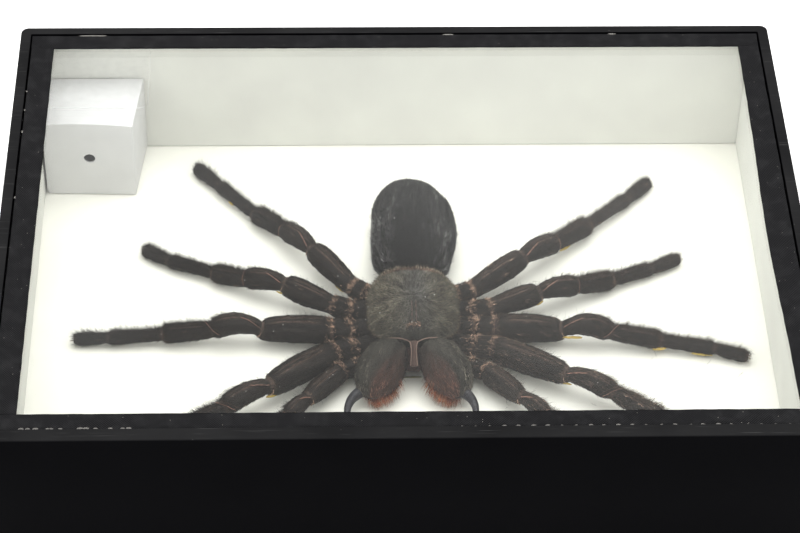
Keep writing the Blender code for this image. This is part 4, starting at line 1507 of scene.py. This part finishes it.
def shield_fur(chance):
    """The coat: grey along the middle, olive on the sides, reddish in the collar at the rear."""
    count = SHIELD_HAIRS
    roots, outward, _, rows, _ = plant(upper, chance, count)
    outward = outward * np.sign(outward[:, 2:3])
    away = roots - np.array((*PIT, roots[:, 2].mean()))
    away[:, 2] = 0
    away = unit(away)
    lean = away + outward * chance.uniform(0.15, 0.6, (count, 1)) + chance.normal(0, 0.2, (count, 3))
    tints = tinted(chance, count, SHIELD_HAIR, 0.35, (0.23, 0.185, 0.12), 0.10)
    middle = bump_at(roots[:, 0], SHIELD_MIDDLE[0] + 0.6, 4.0)[:, None]
    tints = tints * (1 - middle) + tinted(chance, count, SHIELD_GREY) * middle
    collar = np.clip((roots[:, 1] - COLLAR_Y) * 0.8, 0, 0.95)[:, None]
    tints = tints * (1 - collar) + tinted(chance, count, COLLAR_HAIR, 0.4) * collar
    near_edge = np.clip((upper_shares[rows] - 0.75) * 4, 0, 1)[:, None]
    tints = tints * shield_tone(roots, away)[:, None] * (1 - 0.25 * near_edge)
    return roots, lean, chance.uniform(0.5, 1.1, count), 0.0, HAIR_WIDTH, tints


def edge_fringe(chance):
    """Hairs that stand out round the edge, more of them at the rear."""
    count = FRINGE_HAIRS
    turn = chance.uniform(0, 1, count)
    turn[:REAR_SHARE] = REAR_TURN + chance.normal(0, 0.09, REAR_SHARE)
    columns = (turn * SHIELD_SIDES).astype(int) % SHIELD_SIDES
    roots = upper[chance.integers(0, 4, count), columns] + chance.normal(0, 0.12, (count, 3))
    outward = unit((roots - np.array((*SHIELD_MIDDLE, 0.0))) * np.array((1, 1, 0)))
    lean = outward + UP * 0.15 + chance.normal(0, 0.28, (count, 3))
    tints = tinted(chance, count, (0.13, 0.10, 0.07), 0.4, HAIR_DARK, 0.35)
    return roots, lean, chance.uniform(0.6, 1.3, count), 0.0, HAIR_WIDTH, tints


def rear_fringe(chance):
    """Paler, longer hairs that stand up behind the dome."""
    count = REAR_HAIRS
    turn = REAR_TURN + chance.normal(0, 0.065, count)
    columns = (turn * SHIELD_SIDES).astype(int) % SHIELD_SIDES
    roots = upper[chance.integers(3, 13, count), columns] + chance.normal(0, 0.12, (count, 3))
    lean = np.array((0.0, 0.5, 1.0)) + chance.normal(0, 0.30, (count, 3))
    return (roots, lean, chance.uniform(0.8, 1.9, count), 0.0, 0.08,
            tinted(chance, count, (0.40, 0.33, 0.25), 0.4, HAIR_BROWN, 0.35))


# %% The patch round the eyes
EYES = (3.0, -12.9)
EYE_HAIRS = 190
TUFTS = ((-1.5, 0.0), (1.2, 0.05), (-0.4, 0.15), (0.1, -0.3))  # from the middle of the eyes
TUFT_SHARES = (0.35, 0.35, 0.15, 0.15)
PIT_LINE_HAIRS = 150


def dropped(spots, lift):
    """Hair roots on the carapace below each spot."""
    return np.array([on_carapace(x, y) for x, y in spots]) + UP * lift


def eye_patch(chance):
    """A tan patch in four tufts."""
    count = EYE_HAIRS
    middles = np.array(TUFTS)[chance.choice(len(TUFTS), count, p=TUFT_SHARES)]
    scatter = np.clip(chance.normal(0, 1, (count, 2)), -2, 2) * np.array((0.42, 0.36))
    roots = dropped(np.array(EYES) + middles + scatter, 0.2)
    lean = chance.normal(0, 0.8, (count, 3)) + np.array((0, -0.4, 0.7))
    return (roots, lean, chance.uniform(0.3, 0.65, count), 0.0, 0.10,
            tinted(chance, count, (0.40, 0.255, 0.185), 0.6, HAIR_BROWN, 0.4))


def pit_lines(chance):
    """Two fine pale lines that run from the pit towards the eyes."""
    count = PIT_LINE_HAIRS
    share = chance.random(count)
    line = np.where(chance.random(count) < 0.5, -0.55, 0.5)
    spots = np.stack([SHIELD_MIDDLE[0] + line + chance.normal(0, 0.06, count), -6.0 - 5.6 * share], axis=1)
    lean = np.array((0.0, -1.0, 0.05)) + chance.normal(0, 0.08, (count, 3))
    return (dropped(spots, 0.30), lean, chance.uniform(0.4, 0.8, count), 0.0, 0.09,
            tinted(chance, count, (0.17, 0.115, 0.10), 0.3))


def shield_coat():
    chance = np.random.default_rng(61)
    return [shield_fur(chance), edge_fringe(chance), rear_fringe(chance), eye_patch(chance),
            pit_lines(chance)]


add_hair("shield_hair", shield_coat())

# %% The eyes
EYE_SPOTS = (  # across and along from the middle of the eyes, radius
    (-0.55, -0.45, 0.30), (0.55, -0.45, 0.30), (-1.25, -0.75, 0.26), (1.25, -0.75, 0.26),
    (-1.3, 0.0, 0.22), (1.3, 0.0, 0.22), (-0.8, 0.15, 0.18), (0.8, 0.15, 0.18))


def make_horn(name, dark, light, roughness):
    material, tree, shader = new_material(name, {"Specular IOR Level": 0.22})
    cloud = noise_value(tree, object_places(tree), 0.9)
    feed(tree, shader, {"Base Color": blend_colours(tree, cloud, colour(*dark), colour(*light)),
                        "Normal": bumps(tree, cloud, 0.05),
                        "Roughness": remap(tree, cloud, 0.3, 0.7, roughness, roughness + 0.12)})
    return material


horn = make_horn("horn", (0.004, 0.004, 0.006), (0.014, 0.013, 0.019), 0.30)
bm = bmesh.new()
for eye_x, eye_y, size in EYE_SPOTS:
    add_bead(bm, on_carapace(EYES[0] + eye_x, EYES[1] + eye_y), (size, size, size))
eyes = add_piece("eyes", bm, horn)
print("eight eyes,", len(eyes.data.polygons), "faces")

# %% [markdown]
# ## Jaws, fangs and spinnerets
#
# Each jaw is a bent barrel, grey-green above and rusty on the side that faces the other jaw, and
# a crease parts the two. A fringe of stiff orange bristles hangs over its front edge, and a
# curved black fang comes out beyond it. A bare strip and two pale lines lie between the jaws and
# the shield. Two short spinnerets end the abdomen.

# %% Jaws
JAW_X = 2.7
FANG_X = 2.0
JAW_STATIONS = (
    (5.3, -16.5, 8.2, 3.5, 2.6), (5.6, -17.6, 8.4, 4.5, 3.8), (6.8, -20.0, 8.2, 5.5, 4.5),
    (7.9, -22.4, 7.5, 6.0, 4.7), (9.0, -24.6, 6.6, 6.0, 4.6), (10.1, -26.7, 5.6, 5.1, 4.0),
    (10.9, -28.4, 4.6, 3.8, 2.9), (11.2, -29.7, 3.9, 1.9, 1.4))
FANG_STATIONS = (
    (12.2, -28.0, 4.6, 1.45), (14.1, -29.5, 4.3, 1.38), (15.2, -30.7, 3.8, 1.15),
    (15.9, -32.3, 3.2, 0.95), (16.1, -34.1, 2.6, 0.80), (15.7, -36.0, 1.9, 0.60),
    (14.7, -37.8, 1.3, 0.38), (13.5, -39.0, 0.9, 0.14))
JAW_SIDES = 48
FANG_SIDES = 20
CREASE_WIDTH = 0.13
CREASE_DEPTH = 0.35
JAW_HAIRS = 6500
JAW_BRISTLES = 900
JAW_GREY = (0.042, 0.0370, 0.0305)
JAW_RUST = (0.040, 0.0195, 0.015)
BRISTLE_RED = (0.25, 0.080, 0.040)
JAW_SHADE = {"left": 1.3, "right": 0.95}


def placed(stations, middle, sign):
    """Stations given as distance out from the midline, along Y and up, set in place."""
    rows = []
    for out, y, height, *sizes in stations:
        sizes = sizes if len(sizes) == 2 else sizes * 2
        rows.append((middle + sign * out, y, BOARD + height, *sizes))
    return rows


def jaw_rings(sign):
    """A jaw's rings, how far each corner is inside the rusty half, and how deep in the crease."""
    rows = even_steps(placed(JAW_STATIONS, JAW_X, sign), 0.30, 6)
    rings = wrinkled(path_rings(rows, JAW_SIDES), 0.30, 21.0 + sign)
    share = np.linspace(0, 1, len(rows))
    # the path runs towards -Y, so a ring's first corner is on the -X side
    inward = np.cos(ring_turns(JAW_SIDES)) * sign
    height = np.sin(ring_turns(JAW_SIDES))
    # a crease parts the grey outer half from the rusty inner one, and wanders outwards to the tip
    inner = inward[None] - np.interp(share, (0.0, 0.5, 1.0), (0.65, 0.02, -0.15))[:, None]
    crease = np.exp(-(inner / CREASE_WIDTH) ** 2) * (height > -0.2)[None]
    rings = pushed(rings, -CREASE_DEPTH * crease * np.clip(share * 3, 0, 1)[:, None])
    rings[..., 2] = np.maximum(rings[..., 2], BOARD + 0.1)
    return rings, inner, crease


def jaw_coat(rings, share, red, crease, side, sign, chance):
    count = JAW_HAIRS
    roots, outward, along, rows, columns = plant(rings, chance, count)
    lean = along + outward * chance.uniform(0.15, 0.5, (count, 1)) + chance.normal(0, 0.12, (count, 3))
    grey = tinted(chance, count, JAW_GREY, 0.4, (0.09, 0.082, 0.062), 0.12)
    rusty = tinted(chance, count, JAW_RUST, 0.5, (0.10, 0.052, 0.038), 0.18)
    # painted shade: the rusty half is darker towards its root, where it meets the strip
    rusty = rusty * np.clip(1.5 * share - 0.1, 0.12, 1.2)[rows][:, None]
    lift = 1 + 0.9 * np.clip((share - 0.5) / 0.4, 0, 1)[rows][:, None]  # paler towards the tip
    rust = red[rows, columns][:, None]
    tints = (grey * (1 - rust) + rusty * rust) * JAW_SHADE[side] * lift
    streaks = (0.9 * lengthwise_noise(rings, 0.10, 4.5, 41.0 + sign)
               + 1.6 * lengthwise_noise(rings, 0.30, 10.0, 43.0 + sign))
    # streaks of tone, and painted shade that darkens the hair in the crease
    tints = tints * (np.exp(streaks) * (1 - 0.65 * crease))[rows, columns][:, None]
    return roots, lean, chance.uniform(0.5, 1.1, count), 0.0, HAIR_WIDTH, tints


def jaw_bristles(rings, share, sign, chance):
    """A fringe of stiff bristles along the front edge of the inner half."""
    inward = np.cos(ring_turns(JAW_SIDES)) * sign
    height = np.sin(ring_turns(JAW_SIDES))
    weight = (np.clip(share - 0.40, 0, 1)[:, None]
              * np.exp(-((inward - 0.45) / 0.5) ** 2)[None] * np.clip(0.35 - height, 0, 1)[None])
    count = JAW_BRISTLES
    roots, outward, _, _, _ = plant(rings, chance, count, weight)
    ahead = np.array((-0.25 * sign, -1.0, -0.1))
    lean = ahead + outward * 0.35 + chance.normal(0, 0.16, (count, 3))
    return (roots, lean, chance.uniform(1.4, 3.4, count), np.array((0.0, -0.1, -0.2)), 0.085,
            tinted(chance, count, BRISTLE_RED, 0.5, (0.42, 0.22, 0.12), 0.25))


for side, sign in SIGNS.items():
    rings, inner, crease = jaw_rings(sign)
    share = np.linspace(0, 1, len(rings))
    underneath = np.clip(0.6 - np.sin(ring_turns(JAW_SIDES)), 0, 1)[None]
    red = np.maximum(np.clip(inner * 3.5, 0, 1), np.clip((share - 0.84) * 6, 0, 1)[:, None] * underneath)
    jaw = add_piece("jaw_" + side + "_skin", skin(rings), jaw_skin, ("chelicera_" + side,))
    keep_values(jaw, "grain", grain_places(rings))
    keep_values(jaw, "pale", (red * np.clip(0.15 + 1.3 * share, 0, 1)[:, None]).ravel())
    chance = np.random.default_rng(71 + sign)
    add_hair("jaw_" + side + "_hair", [jaw_coat(rings, share, red, crease, side, sign, chance),
                                       jaw_bristles(rings, share, sign, chance)])
    fang_rings = path_rings(even_steps(placed(FANG_STATIONS, FANG_X, sign), 0.30, 4), FANG_SIDES)
    fang = add_piece("fang_" + side + "_skin", skin(fang_rings), horn, ("fang_" + side,))
    print("jaw and fang,", side, "side:", len(jaw.data.polygons) + len(fang.data.polygons), "faces")

# %% The strip between the jaws and the bare lines above them
STRIP_STATIONS = ((2.9, -16.4, BOARD + 10.3, 1.05, 0.35), (2.9, -17.4, BOARD + 9.9, 0.95, 0.35),
                  (2.9, -18.5, BOARD + 9.3, 0.68, 0.35), (2.85, -20.4, BOARD + 8.2, 0.78, 0.35),
                  (2.8, -22.2, BOARD + 7.0, 1.0, 0.3))
LINE_STATIONS = {
    "left": ((3.9, -16.6, BOARD + 10.2), (4.9, -16.2, BOARD + 10.6), (6.4, -15.9, BOARD + 10.9),
             (8.9, -15.6, BOARD + 10.7)),
    "right": ((1.9, -16.6, BOARD + 10.2), (0.9, -16.2, BOARD + 10.6), (-0.8, -15.9, BOARD + 10.9),
              (-4.0, -15.5, BOARD + 10.5)),
}
STRIP_EDGES = (  # distance from the middle of the strip, along Y, height above the board
    (1.0, -16.6, 10.3), (0.72, -17.6, 10.0), (0.62, -19.0, 9.3), (0.72, -20.6, 8.4), (0.90, -22.1, 7.3))
STRIP_MIDDLE = 2.85
LINE_RADIUS = 0.13
EDGE_RADIUS = 0.15
bare_skin = make_cuticle("bare skin", (0.028, 0.016, 0.013), (0.085, 0.052, 0.042), 0.45)
line_skin = make_cuticle("line skin", (0.10, 0.064, 0.052), (0.27, 0.185, 0.15), 0.45)


def add_strip(name, stations, material, radius=None):
    """A thin strip on the skin. Where no radius is given, its stations carry their own sizes."""
    rows = even_steps(stations, 0.25, 3)
    if radius:
        rows = np.concatenate([rows, np.full((len(rows), 2), radius)], axis=1)
    rings = wrinkled(path_rings(rows, 12), 0.06, 5.0)
    piece = add_piece(name, skin(rings), material)
    keep_values(piece, "grain", grain_places(rings))
    keep_values(piece, "pale", np.full(len(piece.data.vertices), 0.6))


add_strip("jaw_strip", STRIP_STATIONS, bare_skin)
for side, sign in SIGNS.items():
    add_strip("jaw_line_" + side, LINE_STATIONS[side], line_skin, LINE_RADIUS)
    edge = [(STRIP_MIDDLE + sign * out, y, BOARD + height) for out, y, height in STRIP_EDGES]
    add_strip("jaw_strip_edge_" + side, edge, line_skin, EDGE_RADIUS)
print("one strip and", 2 * len(SIGNS), "bare lines")

# %% The mouth parts behind the strip
MOUTH_PLACE = (2.8, -17.4, BOARD + 4.8)
MOUTH_SIZE = (3.2, 3.9, 2.9)
mouth_skin = make_cuticle("mouth skin", (0.016, 0.008, 0.0065), (0.05, 0.02, 0.015), 0.5)


def make_lumpy(bm, depth, scale, clear):
    """Moves each corner in or out by noise, and keeps it clear of the board."""
    for vert in bm.verts:
        vert.co += vert.normal * depth * noise.noise(vert.co * scale)
        vert.co.z = max(vert.co.z, BOARD + clear)


bm = bmesh.new()
bmesh.ops.create_icosphere(bm, subdivisions=4, radius=1.0,
                           matrix=Matrix.Translation(MOUTH_PLACE) @ Matrix.Diagonal((*MOUTH_SIZE, 1.0)))
make_lumpy(bm, 0.35, 0.5, 0.1)
mouth_places = np.array([vert.co for vert in bm.verts])
mouth = add_piece("mouth_parts", bm, mouth_skin)
keep_values(mouth, "grain", mouth_places * np.array((0.9, 0.2, 0.9)))
keep_values(mouth, "pale", np.full(len(mouth_places), 0.3))
print("the mouth parts have", len(mouth.data.polygons), "faces")

# %% Spinnerets
SPINNERET_HAIRS = 700
for side, sign in SIGNS.items():
    node = "spinneret_" + side
    rows = rounded(slices(node, 30), 2)
    rings = wrinkled(path_rings(rows, 20), 0.08, 31.0 + sign)
    piece = add_piece(node + "_skin", skin(rings), leg_skin, (node,))
    keep_values(piece, "grain", grain_places(rings))
    keep_values(piece, "pale", np.zeros(len(piece.data.vertices)))
    chance = np.random.default_rng(81 + sign)
    count = SPINNERET_HAIRS
    roots, outward, along, _, _ = plant(rings, chance, count)
    lean = along + outward * 0.5 + chance.normal(0, 0.15, (count, 3))
    coat = (roots, lean, chance.uniform(0.5, 1.0, count), 0.0, HAIR_WIDTH,
            tinted(chance, count, HAIR_DARK, 0.4))
    add_hair(node + "_hair", [coat])

# %% [markdown]
# ## Claws, glue and what has fallen off
#
# Each foot ends in two small hooked claws. Amber glue holds several joints down on the card, and
# an older, greener piece lies under the jaws. A dried specimen also sheds: a few hairs and crumbs
# lie on the card, and pale dust sits on the fur. These are small things, but without them the
# card looks too clean.

# %% Claws
CLAW_SPREAD = 0.35
CLAW_LENGTH = 1.1
CLAW_WIDTH = 0.30


def add_claws():
    batches = []
    chance = np.random.default_rng(91)
    for name, (tip, along) in limb_tips.items():
        side = unit(np.cross(along, UP))
        roots = np.array([tip + side * CLAW_SPREAD, tip - side * CLAW_SPREAD])
        lean = np.array([along + UP * 0.25 + side * 0.2, along + UP * 0.25 - side * 0.2])
        batches.append((roots, lean, CLAW_LENGTH, -UP * 0.9, CLAW_WIDTH,
                        tinted(chance, 2, (0.20, 0.11, 0.05), 0.2)))
    add_hair("claws", batches)


add_claws()

# %% Glue along the legs
GLUE_SPOTS = (  # limb, from and to along its chain, half width
    ("leg_left_1", 2.97, 3.10, 0.28), ("leg_left_2", 2.97, 3.32, 0.42), ("leg_left_2", 4.88, 5.10, 0.42),
    ("leg_left_2", 5.60, 5.95, 0.30), ("leg_left_3", 2.86, 3.02, 0.36), ("leg_left_4", 4.05, 4.30, 0.40),
    ("leg_right_1", 2.90, 3.06, 0.42), ("leg_right_3", 2.98, 3.12, 0.30), ("leg_right_4", 2.08, 2.25, 0.36),
    ("leg_right_4", 5.50, 5.62, 0.32))
GLUE_TURN = {"left": -38.0, "right": 218.0}
amber_glue = make_glue("amber glue", (0.74, 0.53, 0.12), 0.25)


def add_dabs(name, bm, material, depth):
    bmesh.ops.subdivide_edges(bm, edges=bm.edges, cuts=1, use_grid_fill=True)
    make_lumpy(bm, depth, 0.9, 0.02)
    piece = add_piece(name, bm, material)
    print(name, "has", len(piece.data.polygons), "faces")


bm = bmesh.new()
for name, start, end, wide in GLUE_SPOTS:
    turns = np.full(2, GLUE_TURN[name.split("_")[1]])
    ends, outward = surface_at(*limb_grids[name], np.array((start, end)), turns)
    reach = Vector(ends[1] - ends[0])
    middle = Vector(ends.mean(axis=0) + outward.mean(axis=0) * 0.2)
    add_bead(bm, middle, (reach.length * 0.62, wide, wide), math.atan2(reach.y, reach.x))
add_dabs("glue_dabs", bm, amber_glue, 0.22)

# %% The old glue under the jaws
OLD_GLUE_PLACE = Vector((2.8, -19.2, BOARD + 0.15))
OLD_GLUE_SIZE = (2.7, 0.24, 0.3)
bm = bmesh.new()
add_bead(bm, OLD_GLUE_PLACE, OLD_GLUE_SIZE)
add_dabs("jaw_glue", bm, make_glue("old glue", (0.20, 0.185, 0.06), 0.3), 0.12)

# %% Fallen hairs
FALLEN = 46


def add_fallen():
    """Curved hairs that lie between the body and the feet."""
    chance = np.random.default_rng(95)
    near = chance.choice(len(limb_tips), FALLEN)
    tips = np.array([tip for tip, _ in limb_tips.values()])[near]
    roots = tips * chance.uniform(0.35, 1.02, (FALLEN, 1)) + chance.normal(0, 2.2, (FALLEN, 3))
    roots[:, 2] = BOARD + 0.08
    turn = chance.uniform(0, 2 * np.pi, FALLEN)
    lean = np.stack([np.cos(turn), np.sin(turn), np.full(FALLEN, 0.03)], axis=1)
    sideways = np.stack([-np.sin(turn), np.cos(turn), np.zeros(FALLEN)], axis=1)
    droop = sideways * chance.normal(0, 0.4, (FALLEN, 1))
    batch = (roots, lean, chance.uniform(0.8, 2.4, FALLEN), droop, 0.07,
             tinted(chance, FALLEN, HAIR_BROWN, 0.6))
    add_hair("fallen_hairs", [batch])


add_fallen()

# %% Dust and crumbs
CRUMBS = ((2.45, -12.6, 0.16), (3.45, -12.75, 0.12), (8.5, -1.8, 0.20), (-5.5, -7.2, 0.17))
dust_material = make_card("dust", (0.52, 0.51, 0.48), (0.36, 0.35, 0.32), 0.5, 0.01)
chance = np.random.default_rng(97)
bm = bmesh.new()
dusty_places = plant(abdomen_grid, chance, 5)[0].tolist() + plant(upper, chance, 4)[0].tolist()
for grid, _ in limb_grids.values():
    upward = np.clip(unit(grid - grid.mean(axis=1, keepdims=True))[..., 2] - 0.3, 0, 1)
    dusty_places += plant(grid, chance, 4, upward)[0].tolist()
for place in dusty_places:
    size = chance.uniform(0.06, 0.14)
    add_bead(bm, Vector(place) + Vector((0, 0, 0.35)), (size * 1.4, size, size * 0.8), chance.uniform(0, 3))
for x, y, size in CRUMBS:
    add_bead(bm, on_carapace(x, y) + Vector((0, 0, 0.5)), (size, size, size * 0.8))
dust = add_piece("dust_specks", bm, dust_material)
print("dust:", len(dust.data.polygons), "faces")

# %% [markdown]
# ## Floor and light
#
# The picture is a plain studio shot on white. A large soft lamp above and behind throws the
# shadows forward, and a pale sky fills them. The lamp stands higher than the mirror angle of the
# glass, so it leaves no glare on the pane, only the sky's thin haze. Some parts of the sky are
# brighter, as white boards round a table would be. Soft ramps on its direction make them.

# %% Floor
FLOOR_SIZE = 6.0
FLOOR_DROP = 0.05
floor_bm = bmesh.new()
bmesh.ops.create_grid(floor_bm, x_segments=2, y_segments=2, size=FLOOR_SIZE / 2,
                      matrix=Matrix.Translation((0, 0, -FLOOR_DROP * MM)))
floor_mesh = bpy.data.meshes.new("floor")
floor_bm.to_mesh(floor_mesh)
floor_bm.free()
floor_paper = make_card("floor paper", (0.84, 0.84, 0.84), (0.82, 0.82, 0.82), 0.01, 0.005)
floor_mesh.materials.append(floor_paper)
floor = bpy.data.objects.new("floor", floor_mesh)
bpy.context.scene.collection.objects.link(floor)
print("the floor is", FLOOR_SIZE, "m wide")

# %% The sky
HAZE_FRONT = 0.435  # what the pane mirrors near the front of the box, and near its back
HAZE_BACK = 0.68
HAZE_RAMP = (0.674, 0.692)  # the heights in the sky that the pane's back and front mirror
SKY_RAMPS = (  # axis, where a brighter part begins and where it is full, how much brighter
    ("X", 0.0, 0.06, 0.19), ("X", -0.055, -0.10, 0.34),  # both sides of the haze
    ("Z", 0.82, 0.97, 2.9), ("Y", 0.05, -0.5, 1.0),  # high up, and in front
    ("X", -0.35, -0.65, 1.5), ("X", 0.35, 0.65, 0.6))  # the far left and the far right
world = bpy.data.worlds.new("sky")
world.use_nodes = True
sky_tree = world.node_tree
direction = add_node(sky_tree, "ShaderNodeTexCoord").outputs["Generated"]
heading = add_node(sky_tree, "ShaderNodeSeparateXYZ", {"Vector": direction})
brightness = remap(sky_tree, heading.outputs["Z"], *HAZE_RAMP, HAZE_BACK, HAZE_FRONT)
for axis, begin, full, extra in SKY_RAMPS:
    ramp = remap(sky_tree, heading.outputs[axis], begin, full, 0.0, extra)
    brightness = calculate(sky_tree, 'ADD', brightness, ramp)
feed(sky_tree, sky_tree.nodes["Background"], {"Strength": brightness, "Color": colour(1.0, 0.995, 0.98)})
bpy.context.scene.world = world
print("the sky has", len(SKY_RAMPS), "brighter parts")

# %% The lamp
LAMP_POWER = 4.0
LAMP_SIZE = 0.7
LAMP_PLACE = Vector((0.10, 0.16, 0.90))
lamp_data = bpy.data.lights.new("soft lamp", 'AREA')
lamp_data.energy = LAMP_POWER
lamp_data.size = LAMP_SIZE
lamp = bpy.data.objects.new("soft lamp", lamp_data)
aimed = LAMP_PLACE.to_track_quat('Z', 'Y').to_matrix().to_4x4()
lamp.matrix_world = Matrix.Translation(LAMP_PLACE) @ aimed
bpy.context.scene.collection.objects.link(lamp)
bpy.context.scene.view_settings.view_transform = 'Standard'
print("one lamp at", [round(value, 2) for value in LAMP_PLACE], "m")
